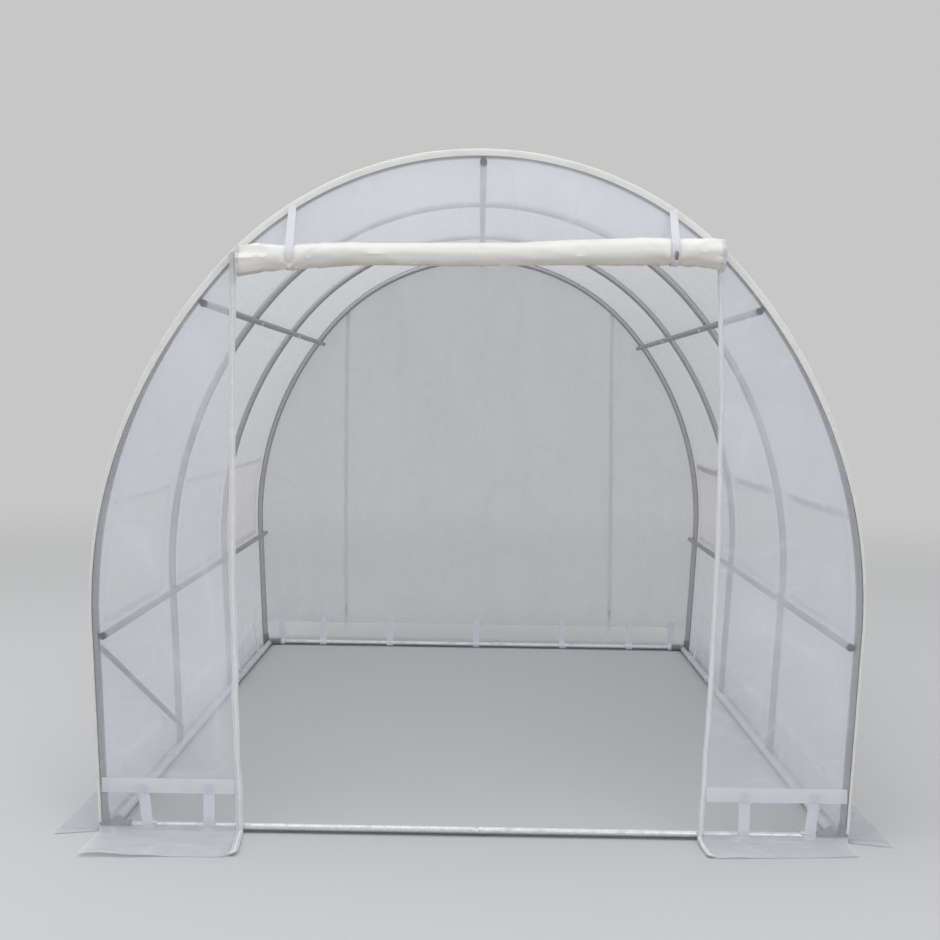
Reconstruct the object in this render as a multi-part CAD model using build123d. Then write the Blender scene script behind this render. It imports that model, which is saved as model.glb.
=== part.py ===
from build123d import *
import os
from math import acos, asin, atan2, cos, degrees, hypot, radians, sin, sqrt, tan

# Walk-in polytunnel: four bent steel hoops, seven long rails and a base frame under a film cover.
# Millimetres. X runs across the tunnel, Y along it away from the open door, Z up from the ground.
# The origin is on the ground, in the middle of the plan.

# Frame
bay_length = 1000.0
bay_count = 3
hoop_diameter = 22.0
rail_diameter = 19.0
brace_diameter = 16.0

# Bent line of the hoops, on the tube's axis: crown arc, side arc and a leg that leans in to its foot
ridge_height = 1766.0
crown_radius = 892.0
crown_angle = 49.0
side_radius = 1303.0
leg_lean = 3.0

# Rails along the tunnel, on the inner side of the hoops
shoulder_angle = 53.0
waist_height = 512.0
cap_length = 8.0

# Base frame
socket_wall = 3.0
socket_length = 48.0
foot_lift = 3.0
base_tube_inset = 2.6

# Diagonal brace of the left front bay
brace_top_drop = 32.0
brace_foot_height = 52.0
brace_tab_length = 46.0
brace_tab_thickness = 3.0

# Cover
film = 2.0
net = 2.0
webbing = 2.0
seat_gap = 0.3
door_half_width = 620.0
door_head_rise = 30.0
zip_width = 22.0
hem_foot = 104.0
hem_width = 38.0

# Rolled-up door
roll_diameter = 75.0
roll_overlap = 15.0
roll_strap_place = 483.0
roll_strap_width = 26.0
roll_strap_reach = 118.0

# Side windows, one in each bay
window_width = 720.0
window_sill = 540.0
window_head = 845.0
window_seam = 16.0
window_roll_diameter = 34.0
window_tie_width = 20.0
window_tie_place = 0.3

# Ground skirts and the straps that tie the cover to the base frame
skirt_reach_end = 205.0
skirt_reach_side = 115.0
skirt_overrun = 50.0
skirt_corner = 32.0
strap_width = 28.0
strap_head = 128.0
strap_corner_gap = 4.0
strap_places_front = (700.0,)
strap_places_rear = (0.0, 395.0)
strap_places_side = (280.0, 770.0, 1220.0, 1700.0, 2200.0, 2700.0)

# Worked out from the sizes above
hoop_radius = hoop_diameter / 2
rail_radius = rail_diameter / 2
tunnel_length = bay_length * bay_count
front = -tunnel_length / 2
rear = tunnel_length / 2
film_inner = hoop_radius + seat_gap
film_outer = film_inner + film
tape_inner = film_outer + seat_gap
rail_offset = -(hoop_radius + rail_radius + seat_gap)
socket_radius = hoop_radius + socket_wall
base_height = socket_radius
leg_angle = 90.0 + leg_lean
film_foot = film + seat_gap
crown_centre = Vector(0, 0, ridge_height - crown_radius)
# The zips end where they meet the hoop, and the door's head is a little above that
door_height = crown_centre.Z + sqrt(crown_radius**2 - door_half_width**2) + door_head_rise


def outward(angle):
    """Unit vector across the tunnel, at an angle in degrees down from straight up."""
    return Vector(sin(radians(angle)), 0, cos(radians(angle)))


side_centre = crown_centre + outward(crown_angle) * (crown_radius - side_radius)


def crown_point(offset, angle):
    """Point on the crown arc, moved outward from the hoop's axis by offset."""
    return crown_centre + outward(angle) * (crown_radius + offset)


def side_point(offset, angle):
    """Point on the side arc, moved outward from the hoop's axis by offset."""
    return side_centre + outward(angle) * (side_radius + offset)


def leg_point(offset, height):
    """Point on the leaning leg at a height, moved outward from the hoop's axis by offset."""
    start = side_point(offset, leg_angle)
    return Vector(start.X - (start.Z - height) * tan(radians(leg_lean)), 0, height)


def side_angle_at(offset, height):
    """Angle on the side arc where it reaches a height."""
    return degrees(acos((height - side_centre.Z) / (side_radius + offset)))


def wall_point(offset, height):
    """Point of the wall at a height, on the side arc or on the leg under it, moved outward by offset."""
    if height > side_point(offset, leg_angle).Z:
        return side_point(offset, side_angle_at(offset, height))
    return leg_point(offset, height)


def crown_edge(offset, first, last):
    """Arc of the crown between two angles."""
    middle = crown_point(offset, (first + last) / 2)
    return ThreePointArc(crown_point(offset, first), middle, crown_point(offset, last))


def side_edge(offset, first, last):
    """Arc of the side between two angles."""
    middle = side_point(offset, (first + last) / 2)
    return ThreePointArc(side_point(offset, first), middle, side_point(offset, last))


def leg_edge(offset, foot):
    """Straight leg from the end of the side arc down to a height."""
    return Line(side_point(offset, leg_angle), leg_point(offset, foot))


def mirrored(shape):
    """The same shape on the other side of the tunnel."""
    return mirror(shape, about=Plane.YZ)


def both_sides(shape):
    """A shape and its mirror image, as separate solids."""
    return [shape, mirrored(shape)]


def both_ends(shape):
    """A shape and its copy at the other end of the tunnel, as separate solids."""
    return [shape, mirror(shape, about=Plane.XZ)]


def prism(edges, start, length):
    """Solid of a closed outline across the tunnel, from y = start over a length."""
    return extrude(Pos(0, start, 0) * make_face(edges), amount=length, dir=(0, 1, 0))


def block(x, y, z):
    """Box between pairs of limits along X, Y and Z."""
    size = [high - low for low, high in (x, y, z)]
    middle = [(high + low) / 2 for low, high in (x, y, z)]
    return Pos(*middle) * Box(*size)


def rod(start, end, radius):
    """Round bar between two points."""
    run = end - start
    return extrude(Plane(origin=start, z_dir=run) * Circle(radius), amount=run.length)


def end_profile(offset, foot, start, length):
    """Slab as large as the tunnel's whole cross-section at an offset, down to a height."""
    right = [crown_edge(offset, 0, crown_angle), side_edge(offset, crown_angle, leg_angle), leg_edge(offset, foot)]
    left = [mirrored(edge) for edge in right]
    corner = leg_point(offset, foot)
    sill = Line(corner, Vector(-corner.X, 0, corner.Z))
    return prism([*right, *left, sill], start, length)


def wall_shell(inner, outer, foot, start, length):
    """Right-hand wall of the cover between two offsets: side arc and leg."""
    edges = [
        side_edge(outer, crown_angle, leg_angle),
        leg_edge(outer, foot),
        Line(leg_point(outer, foot), leg_point(inner, foot)),
        leg_edge(inner, foot),
        side_edge(inner, crown_angle, leg_angle),
        Line(side_point(inner, crown_angle), side_point(outer, crown_angle)),
    ]
    return prism(edges, start, length)


def wall_patch(inner, outer, y, z):
    """Part of the wall shell between two limits along the tunnel and two heights."""
    shell = wall_shell(inner, outer, film_foot, y[0], y[1] - y[0])
    reach = side_radius + outer
    return shell & block((0, reach), y, z)


def make_hoop(place):
    """One bent hoop from foot to foot, with its axis in the plane y = place."""
    right = [crown_edge(0, 0, crown_angle), side_edge(0, crown_angle, leg_angle), leg_edge(0, foot_lift)]
    path = Wire([*[mirrored(edge).edge() for edge in right], *[edge.edge() for edge in right]])
    start = leg_point(0, foot_lift)
    section = Plane(origin=start, z_dir=outward(leg_angle).cross(Vector(0, 1, 0))) * Circle(hoop_radius)
    return Pos(0, place, 0) * sweep(section, path=path)


def make_foot_plug(place):
    """Flat plug under the right foot of a hoop."""
    plug = Pos(0, place, 0) * rod(leg_point(0, -hoop_radius), leg_point(0, foot_lift), hoop_radius)
    return plug & block((0, side_radius), (place - hoop_radius, place + hoop_radius), (0, hoop_radius))


rail_front = front - hoop_radius + cap_length
rail_rear = rear + hoop_radius - cap_length
rail_points = {
    "ridge_rail": crown_point(rail_offset, 0),
    "shoulder_rail": side_point(rail_offset, shoulder_angle),
    "waist_rail": wall_point(rail_offset, waist_height),
}


def make_rail(point):
    """Long rail through a point of the cross-section, from cap to cap."""
    start = Vector(point.X, rail_front, point.Z)
    return rod(start, Vector(point.X, rail_rear, point.Z), rail_radius)


def make_rail_cap(point):
    """Round plug in the front end of a rail."""
    start = Vector(point.X, front - hoop_radius, point.Z)
    return rod(start, Vector(point.X, rail_front, point.Z), rail_radius)


base_rail_x = leg_point(-(hoop_diameter + seat_gap), base_height).X
base_tube_y = front + base_tube_inset
corner_gap = hoop_radius + seat_gap


def make_base_rail():
    """Right-hand ground rail between the corner connectors."""
    start = Vector(base_rail_x, base_tube_y + corner_gap, base_height)
    return rod(start, Vector(base_rail_x, -start.Y, base_height), hoop_radius)


def make_base_tube():
    """Front ground tube between the corner connectors."""
    start = Vector(-(base_rail_x - corner_gap), base_tube_y, base_height)
    return rod(start, Vector(-start.X, base_tube_y, base_height), hoop_radius)


def make_corner_connector():
    """Right front corner: two ground sockets and a clip for the hoop's foot, in one moulding."""
    corner = Vector(base_rail_x, base_tube_y, base_height)
    along = corner + Vector(0, socket_length, 0)
    across = corner - Vector(socket_length, 0, 0)
    foot = leg_point(0, 0) + Vector(0, front, 0)
    lean = leg_point(0, socket_length) - leg_point(0, 0)
    body = Pos(*corner) * Sphere(socket_radius)
    body += rod(corner, along, socket_radius)
    body += rod(corner, across, socket_radius)
    body += rod(foot, foot + lean, socket_radius)
    body += block((corner.X, foot.X), (front - hoop_radius, front + socket_radius), (0, base_height))
    bore = hoop_radius + seat_gap
    body -= rod(corner + Vector(0, corner_gap - seat_gap, 0), along + Vector(0, bore, 0), bore)
    body -= rod(corner - Vector(corner_gap - seat_gap, 0, 0), across - Vector(bore, 0, 0), bore)
    body -= rod(foot + lean * (foot_lift / socket_length), foot + lean * 2, bore)
    reach = socket_length * 3
    inside = prism(
        [
            Line(leg_point(hoop_radius, 0), leg_point(hoop_radius, reach)),
            Line(leg_point(hoop_radius, reach), Vector(corner.X - reach, 0, reach)),
            Line(Vector(corner.X - reach, 0, reach), Vector(corner.X - reach, 0, 0)),
            Line(Vector(corner.X - reach, 0, 0), leg_point(hoop_radius, 0)),
        ],
        front - hoop_radius,
        reach,
    )
    return body & inside


def make_brace():
    """Diagonal tube from the front hoop's waist to the second hoop's foot, flattened at both ends."""
    seat = -(hoop_radius + seat_gap + brace_tab_thickness / 2)
    top = wall_point(seat, waist_height - brace_top_drop) + Vector(0, front, 0)
    foot = leg_point(seat, brace_foot_height) + Vector(0, front + bay_length, 0)
    run = (foot - top).normalized()
    frame = Plane(origin=top, x_dir=run, z_dir=run.cross(Vector(0, 1, 0)))
    length = (foot - top).length
    tube = rod(top + run * brace_tab_length, foot - run * brace_tab_length, brace_diameter / 2)
    tab_length = brace_tab_length + brace_diameter / 2
    for middle in (brace_tab_length - tab_length / 2, length - brace_tab_length + tab_length / 2):
        tube += frame * Pos(middle, 0, 0) * Box(tab_length, brace_diameter, brace_tab_thickness)
    return tube


cover_start = front - film_outer
cover_length = tunnel_length + 2 * film_outer


def make_roof():
    """Crown of the cover from shoulder to shoulder."""
    edges = [
        crown_edge(film_outer, -crown_angle, crown_angle),
        Line(crown_point(film_outer, crown_angle), crown_point(film_inner, crown_angle)),
        crown_edge(film_inner, crown_angle, -crown_angle),
        Line(crown_point(film_inner, -crown_angle), crown_point(film_outer, -crown_angle)),
    ]
    return prism(edges, cover_start, cover_length)


def window_span(bay, margin):
    """Limits along the tunnel of the window in a bay, widened by a margin."""
    middle = front + (bay + 0.5) * bay_length
    half = window_width / 2 + margin
    return (middle - half, middle + half)


def make_wall():
    """Right-hand wall of the cover, with its window openings."""
    wall = wall_shell(film_inner, film_outer, film_foot, cover_start, cover_length)
    for bay in range(bay_count):
        wall -= block((0, side_radius), window_span(bay, 0), (window_sill, window_head))
    return wall


def make_window_net(bay):
    """Insect net behind a window opening, on the inner side of the film."""
    outer = film_inner - seat_gap
    heights = (window_sill - window_seam, window_head + window_seam)
    return wall_patch(outer - net, outer, window_span(bay, window_seam), heights)


def make_window_flap(bay):
    """Closed window flap, on the outer side of the film."""
    heights = (window_sill - window_seam, window_head + window_seam)
    return wall_patch(tape_inner, tape_inner + film, window_span(bay, window_seam), heights)


window_roll_radius = window_roll_diameter / 2
window_roll_offset = tape_inner + webbing + seat_gap + window_roll_radius
window_roll_centre = side_point(window_roll_offset, side_angle_at(window_roll_offset, window_head))


def make_window_roll(bay):
    """Window flap rolled up above its opening."""
    low, high = window_span(bay, 0)
    start = Vector(window_roll_centre.X, low, window_roll_centre.Z)
    return rod(start, Vector(start.X, high, start.Z), window_roll_radius)


def make_window_tie(bay, side):
    """Loop that holds a rolled window flap."""
    middle = front + (bay + 0.5) * bay_length + side * window_tie_place * window_width
    start = Vector(window_roll_centre.X, middle - window_tie_width / 2, window_roll_centre.Z)
    end = start + Vector(0, window_tie_width, 0)
    inner = window_roll_radius + seat_gap
    return rod(start, end, inner + webbing) - rod(start, end, inner)


def end_film(offset, thickness):
    """Slab over the whole front end, at an offset in front of the hoop's axis."""
    return end_profile(hoop_radius, film_foot, front - offset - thickness, thickness)


everywhere = (-2 * side_radius, 2 * side_radius)
front_film = end_film(film_inner, film)
door_edge = door_half_width - seat_gap
front_panel = front_film & block((door_half_width, side_radius), everywhere, everywhere)
front_crescent = front_film & block((-door_edge, door_edge), everywhere, (door_height, ridge_height * 2))
door_sheet = front_film & block((-door_edge, door_edge), everywhere, (0, door_height - seat_gap))
zip_limits = (door_half_width - zip_width / 2, door_half_width + zip_width / 2)
zip_tape = end_film(tape_inner, film) & block(zip_limits, everywhere, (0, door_height - seat_gap))

hem_heights = (hem_foot, hem_foot + hem_width)
hem_layer = end_film(tape_inner, film)
panel_hem = hem_layer & block((zip_limits[1] + seat_gap, side_radius), everywhere, hem_heights)
door_hem_half = zip_limits[0] - seat_gap
door_hem = hem_layer & block((-door_hem_half, door_hem_half), everywhere, hem_heights)
wall_hem = wall_patch(tape_inner, tape_inner + film, (cover_start, cover_start + cover_length), hem_heights)

roll_radius = roll_diameter / 2
roll_centre = Vector(0, front - tape_inner - webbing - seat_gap - roll_radius, door_height - roll_radius)


def make_door_roll():
    """Front door rolled up under the crown."""
    half = Vector(door_half_width + roll_overlap, 0, 0)
    return rod(roll_centre - half, roll_centre + half, roll_radius)


def make_roll_strap():
    """Strap from the hoop round the rolled door, right-hand one."""
    half = roll_strap_width / 2
    inner = roll_radius + seat_gap
    start = roll_centre + Vector(roll_strap_place - half, 0, 0)
    end = start + Vector(roll_strap_width, 0, 0)
    limits = (roll_strap_place - half, roll_strap_place + half)
    heights = (roll_centre.Z, roll_centre.Z + roll_strap_reach)
    tail = end_film(tape_inner, webbing) & block(limits, everywhere, heights)
    ring = rod(start, end, inner + webbing)
    return (ring + tail) - rod(start, end, inner)


def make_front_skirt():
    """Flap on the ground beside the door, right-hand one."""
    outer_x = leg_point(hoop_radius, 0).X
    inner_x = door_half_width - zip_width / 2
    near_y = front - film_inner
    far_y = near_y - skirt_reach_end
    plan = block((inner_x, outer_x), (far_y, near_y), (0, film))
    corner = plan.edges().filter_by(Axis.Z).sort_by(lambda edge: edge.center().X + edge.center().Y)[0]
    return fillet(corner, skirt_corner)


def make_door_skirt():
    """Flap on the ground under the closed rear door, drawn at the front end."""
    half = door_half_width - zip_width / 2 - seat_gap
    near_y = front - film_inner
    return block((-half, half), (near_y - skirt_reach_end, near_y), (0, film))


def make_side_skirt():
    """Flap on the ground along the right-hand wall."""
    near_x = leg_point(film_inner, 0).X + seat_gap
    span = (front - skirt_overrun, rear + skirt_overrun)
    return block((near_x, near_x + skirt_reach_side), span, (0, film))


def strap_loop(start, end, tail):
    """Strap tied round a ground tube: a ring about its axis and a tail up to the cover's hem."""
    inner = hoop_radius + seat_gap
    return (rod(start, end, inner + webbing) + tail) - rod(start, end, inner)


def make_end_strap(place):
    """Strap round the front ground tube, centred on x = place."""
    half = strap_width / 2
    start = Vector(place - half, base_tube_y, base_height)
    end = start + Vector(strap_width, 0, 0)
    outer_y = base_tube_y - hoop_radius - seat_gap - webbing
    tail = block((start.X, end.X), (outer_y, outer_y + webbing), (base_height, strap_head))
    return strap_loop(start, end, tail)


def make_side_strap(place):
    """Strap round the right ground rail, centred at a distance from the front hoop."""
    half = strap_width / 2
    start = Vector(base_rail_x, front + place - half, base_height)
    end = start + Vector(0, strap_width, 0)
    head = leg_point(film_inner - seat_gap, strap_head)
    ring = hoop_radius + seat_gap + webbing
    reach = hypot(head.X - base_rail_x, head.Z - base_height)
    lean = atan2(head.X - base_rail_x, head.Z - base_height) - asin(ring / reach)
    across = Vector(cos(lean), 0, -sin(lean)) * webbing
    root = Vector(base_rail_x, 0, base_height) + across * (ring / webbing)
    corners = [root, head, head - across, root - across]
    sides = [Line(corners[index], corners[(index + 1) % 4]) for index in range(4)]
    return strap_loop(start, end, prism(sides, start.Y, strap_width))


pieces = {}
hoop_names = ["hoop_front", "hoop_second", "hoop_third", "hoop_rear"]
for index, name in enumerate(hoop_names):
    pieces[name] = [make_hoop(front + index * tunnel_length / (len(hoop_names) - 1))]

pieces["ridge_rail"] = [make_rail(rail_points["ridge_rail"])]
for name in ("shoulder_rail", "waist_rail"):
    rail = make_rail(rail_points[name])
    pieces[name + "_right"] = [rail]
    pieces[name + "_left"] = [mirrored(rail)]

caps = [make_rail_cap(rail_points["ridge_rail"])]
caps += both_sides(make_rail_cap(rail_points["shoulder_rail"]))
caps += both_sides(make_rail_cap(rail_points["waist_rail"]))
pieces["rail_end_caps_front"] = caps
pieces["rail_end_caps_rear"] = [both_ends(cap)[1] for cap in caps]

pieces["base_rail_right"] = [make_base_rail()]
pieces["base_rail_left"] = [mirrored(make_base_rail())]
pieces["base_tube_front"], pieces["base_tube_rear"] = [[tube] for tube in both_ends(make_base_tube())]
corners = both_sides(make_corner_connector())
pieces["corner_connectors_front"] = corners
pieces["corner_connectors_rear"] = [both_ends(corner)[1] for corner in corners]
inner_hoops = [front + bay * bay_length for bay in range(1, bay_count)]
pieces["hoop_foot_plugs"] = [plug for y in inner_hoops for plug in both_sides(make_foot_plug(y))]
pieces["corner_brace"] = [mirrored(make_brace())]

pieces["cover_roof"] = [make_roof()]
pieces["cover_wall_right"] = [make_wall()]
pieces["cover_wall_left"] = [mirrored(make_wall())]
pieces["front_panel_right"], pieces["front_panel_left"] = [[panel] for panel in both_sides(front_panel)]
pieces["front_crescent"] = [front_crescent]
rear_panels = both_sides(both_ends(front_panel)[1])
pieces["rear_panel_right"], pieces["rear_panel_left"] = [[panel] for panel in rear_panels]
pieces["rear_crescent"] = [both_ends(front_crescent)[1]]
pieces["rear_door"] = [both_ends(door_sheet)[1]]
pieces["front_zips"] = both_sides(zip_tape)
pieces["rear_zips"] = both_sides(both_ends(zip_tape)[1])
pieces["door_roll"] = [make_door_roll()]
pieces["door_roll_straps"] = both_sides(make_roll_strap())

bays = range(bay_count)
pieces["window_nets_right"] = [make_window_net(bay) for bay in bays]
pieces["window_nets_left"] = [mirrored(make_window_net(bay)) for bay in bays]
pieces["window_flaps_left"] = [mirrored(make_window_flap(bay)) for bay in bays]
pieces["window_rolls_right"] = [make_window_roll(bay) for bay in bays]
pieces["window_ties_right"] = [make_window_tie(bay, side) for bay in bays for side in (-1, 1)]

pieces["skirts_front"] = both_sides(make_front_skirt())
pieces["skirts_side"] = both_sides(make_side_skirt())
rear_skirts = [*both_sides(make_front_skirt()), make_door_skirt()]
pieces["skirts_rear"] = [both_ends(skirt)[1] for skirt in rear_skirts]

end_hems = [hem for panel in both_sides(panel_hem) for hem in both_ends(panel)]
pieces["hem_bands"] = [*end_hems, both_ends(door_hem)[1], *both_sides(wall_hem)]

corner_strap_place = base_rail_x - socket_length - strap_corner_gap - strap_width / 2
end_places = (*strap_places_front, corner_strap_place)
front_straps = [strap for place in end_places for strap in both_sides(make_end_strap(place))]
door_straps = [make_end_strap(strap_places_rear[0]), *both_sides(make_end_strap(strap_places_rear[1]))]
pieces["tie_straps_front"] = front_straps
pieces["tie_straps_rear"] = [both_ends(strap)[1] for strap in [*front_straps, *door_straps]]
pieces["tie_straps_side"] = [strap for y in strap_places_side for strap in both_sides(make_side_strap(y))]

os.makedirs("parts", exist_ok=True)
for name, solids in pieces.items():
    shape = Compound(children=[solid for piece in solids for solid in piece.solids()])
    export_step(shape, f"parts/{name}.step")
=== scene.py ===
"""A walk-in polytunnel: its film, nets, zips and straps, made round the tunnel's steel frame."""

import logging
import math
from dataclasses import dataclass, field
from enum import Enum
from functools import cache
from typing import Any, Callable, Sequence

import bmesh
import bpy
import numpy as np
from mathutils import Matrix, Vector


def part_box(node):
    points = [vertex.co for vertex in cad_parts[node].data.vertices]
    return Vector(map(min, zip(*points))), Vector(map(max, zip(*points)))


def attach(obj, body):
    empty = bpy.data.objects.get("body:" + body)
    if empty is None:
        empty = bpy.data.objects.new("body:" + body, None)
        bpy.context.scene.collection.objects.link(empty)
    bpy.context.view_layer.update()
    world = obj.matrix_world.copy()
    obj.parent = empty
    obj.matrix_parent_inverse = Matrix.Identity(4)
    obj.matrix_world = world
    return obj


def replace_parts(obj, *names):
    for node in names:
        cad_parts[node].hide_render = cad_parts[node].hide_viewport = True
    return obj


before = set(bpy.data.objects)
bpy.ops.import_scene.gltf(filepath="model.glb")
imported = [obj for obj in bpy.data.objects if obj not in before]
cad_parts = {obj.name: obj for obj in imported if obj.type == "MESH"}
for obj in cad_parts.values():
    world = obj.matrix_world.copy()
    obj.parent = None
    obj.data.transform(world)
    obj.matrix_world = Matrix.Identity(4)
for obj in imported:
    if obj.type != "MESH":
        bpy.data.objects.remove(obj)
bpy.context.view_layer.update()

Array = np.ndarray
Number = Array | float
Triple = tuple[float, float, float]
Colour = Triple
log = logging.getLogger("polytunnel")


def middle(node: str) -> Vector:
    """Centre of a frame node's box."""
    low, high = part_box(node)
    return (low + high) / 2


HOOPS = ("hoop_front", "hoop_second", "hoop_third", "hoop_rear")
HOOP_PLACES = tuple(middle(name).y for name in HOOPS)
TUBE = (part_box("hoop_front")[1].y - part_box("hoop_front")[0].y) / 2
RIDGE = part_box("hoop_front")[1].z - TUBE
BAY = HOOP_PLACES[1] - HOOP_PLACES[0]
FILM_GAP = 0.0007
SHARP_ANGLE = math.radians(50)
COVER_OFFSET = TUBE + FILM_GAP
END_FACE = abs(HOOP_PLACES[0]) + COVER_OFFSET
ACROSS, ALONG, UPWARD = np.eye(3)


class Side(Enum):
    """Side of the tunnel, as seen from the open door."""

    LEFT = -1
    RIGHT = 1


class End(Enum):
    """End of the tunnel, by the sign of its direction along Y."""

    FRONT = -1
    REAR = 1


def stops(step: float, *marks: float) -> Array:
    """Stops along a line, at each mark and evenly between them.

    Args:
        step: largest distance between stops.
        *marks: places that need a stop.

    Returns:
        The stops, from the lowest mark to the highest.
    """
    ordered = sorted(set(marks))
    runs = [
        np.linspace(low, high, max(1, math.ceil((high - low) / step - 1e-6)), endpoint=False)
        for low, high in zip(ordered, ordered[1:])
    ]
    return np.append(np.concatenate(runs), ordered[-1])


def eased(value: Number) -> Array:
    """Eased step from 0 to 1 as a value goes from 0 to 1."""
    held = np.clip(value, 0.0, 1.0)
    return held * held * (3 - 2 * held)


def bell(value: Number, width: float) -> Array:
    """Hump of height 1 round zero."""
    return np.exp(-((np.asarray(value) / width) ** 2))


class Unevenness:
    """Smooth seeded roughness over two coordinates, from about -1 to 1."""

    cells = 64

    def __init__(self, seed: int) -> None:
        """Draws the lattice."""
        self.table = np.random.default_rng(seed).uniform(-1.0, 1.0, (self.cells, self.cells))

    def __call__(self, u: Number, v: Number) -> Array:
        """Blended lattice value.

        Args:
            u: first coordinate, in cells.
            v: second coordinate, in cells.

        Returns:
            The value at each place.
        """
        u, v = np.broadcast_arrays(np.asarray(u, float), np.asarray(v, float))
        column, row = np.floor(u).astype(int), np.floor(v).astype(int)
        across, along = eased(u - column), eased(v - row)
        near, far = (
            self.table[column % self.cells, line % self.cells] * (1 - across)
            + self.table[(column + 1) % self.cells, line % self.cells] * across
            for line in (row, row + 1)
        )
        return near * (1 - along) + far * along

    def rough(self, u: Number, v: Number, octaves: int = 3) -> Array:
        """Sum of ever finer and fainter copies."""
        u, v = np.asarray(u, float), np.asarray(v, float)
        return sum(self(u * 2**k + 7 * k, v * 2**k + 3 * k) / 2**k for k in range(octaves)) / 1.5

    def folds(self, u: Number, v: Number, sharpness: float = 5.0) -> Array:
        """Narrow ridges, from 0 to 1."""
        return (1 - np.abs(self(u, v))) ** sharpness


@dataclass(frozen=True)
class BentLine:
    """A line of straight runs and arcs that join smoothly, in a plane with a right and an up direction.

    Attributes:
        start: first point.
        heading: direction of travel at the start, in radians from the right.
        runs: length and turn of each stretch, a turn to the left being positive.
    """

    start: tuple[float, float]
    heading: float
    runs: tuple[tuple[float, float], ...]

    @property
    def length(self) -> float:
        """Length along the line."""
        return sum(length for length, _ in self.runs)

    def at(self, distance: Number) -> tuple[Array, Array]:
        """Points and left-hand normals, the last run going on past its end.

        Args:
            distance: distances along the line.

        Returns:
            Points and unit normals, each with a last axis of two.
        """
        distance = np.asarray(distance, float)
        point = np.zeros((*distance.shape, 2))
        angle = np.zeros(distance.shape)
        origin, heading, passed = np.array(self.start, float), self.heading, 0.0
        for index, (length, turn) in enumerate(self.runs):
            here = (distance >= passed) | (index == 0)
            steps = np.append(distance[here] - passed, length)
            bend = turn / length
            ahead = heading + bend * steps
            if abs(bend) < 1e-9:
                move = np.outer(steps, (math.cos(heading), math.sin(heading)))
            else:
                right, up = np.sin(ahead) - math.sin(heading), math.cos(heading) - np.cos(ahead)
                move = np.stack([right, up], -1) / bend
            point[here] = origin + move[:-1]
            angle[here] = ahead[:-1]
            origin, heading, passed = origin + move[-1], heading + turn, passed + length
        return point, np.stack([-np.sin(angle), np.cos(angle)], -1)


def wrapped_line(
    start: tuple[float, float], centre: tuple[float, float], radius: float, turn: float, tail: float
) -> BentLine:
    """A strap's line: straight to a bar, round it, and straight on.

    Args:
        start: point that the strap hangs from.
        centre: centre of the bar.
        radius: distance of the strap's middle from that centre.
        turn: angle that it bends through on the bar, positive to the left.
        tail: length past the bar.

    Returns:
        The line in the same plane.
    """
    run = np.subtract(centre, start)
    reach = float(np.hypot(*run))
    heading = math.atan2(run[1], run[0]) - math.copysign(math.asin(radius / reach), turn)
    straight = math.sqrt(reach**2 - radius**2)
    return BentLine(start, heading, ((straight, 0.0), (abs(turn) * radius, turn), (tail, 0.0)))


@dataclass(frozen=True)
class HoopLine:
    """Bent line of the hoops, and of the cover that hangs over them.

    Radii are on the tube's axis. The leg leans in toward its foot, and the flaps lie a little off the ground.
    """

    crown_radius: float = 0.892
    crown_turn: float = math.radians(49)
    side_radius: float = 1.303
    leg_lean: float = math.radians(3)
    fold_radius: float = 0.012
    lie: float = 0.002

    @property
    def crown_height(self) -> float:
        """Height of the crown arc's centre."""
        return RIDGE - self.crown_radius

    @property
    def side_centre(self) -> Array:
        """Centre of the right-hand side arc, across and up."""
        lean = np.array([math.sin(self.crown_turn), math.cos(self.crown_turn)])
        return np.array([0.0, self.crown_height]) + (self.crown_radius - self.side_radius) * lean

    def leg_top(self, offset: float) -> Array:
        """Place where the right-hand leg starts, across and up, outside the tube's axis by an offset."""
        reach = self.side_radius + offset
        return self.side_centre + reach * np.array([math.cos(self.leg_lean), -math.sin(self.leg_lean)])

    def right_half(self, offset: float, flap_end: float) -> BentLine:
        """Line from the ridge down the right side, and out along the ground.

        Args:
            offset: distance outside the tube's axis.
            flap_end: how far the ground flap reaches from the middle of the tunnel.

        Returns:
            The line across the tunnel.
        """
        crown, side = self.crown_radius + offset, self.side_radius + offset
        side_turn = math.pi / 2 + self.leg_lean - self.crown_turn
        leg_top = self.leg_top(offset)
        fold_drop = self.fold_radius * (1 + math.sin(self.leg_lean))
        leg = (leg_top[1] - self.lie - fold_drop) / math.cos(self.leg_lean)
        fold_turn = math.pi / 2 + self.leg_lean
        foot = leg_top[0] - leg * math.sin(self.leg_lean) + self.fold_radius * math.cos(self.leg_lean)
        runs = (
            (crown * self.crown_turn, -self.crown_turn),
            (side * side_turn, -side_turn),
            (leg, 0.0),
            (self.fold_radius * fold_turn, fold_turn),
            (flap_end - foot, 0.0),
        )
        return BentLine((0.0, RIDGE + offset), 0.0, runs)

    def depth(self, x: Array, z: Array, offset: float) -> Array:
        """How far points of the cross-section lie inside the line.

        Args:
            x: places across the tunnel.
            z: heights.
            offset: distance of the line outside the tube's axis.

        Returns:
            The depths, negative outside the line.
        """
        from_crown = np.hypot(x, z - self.crown_height)
        from_side = np.hypot(np.abs(x) - self.side_centre[0], z - self.side_centre[1])
        in_crown = np.arctan2(np.abs(x), z - self.crown_height) < self.crown_turn
        return np.where(in_crown, self.crown_radius - from_crown, self.side_radius - from_side) + offset

    def crest(self, x: Number, offset: float) -> Array:
        """Height of the crown at a place across the tunnel."""
        return self.crown_height + np.sqrt((self.crown_radius + offset) ** 2 - np.asarray(x) ** 2)


LINE = HoopLine()


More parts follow.
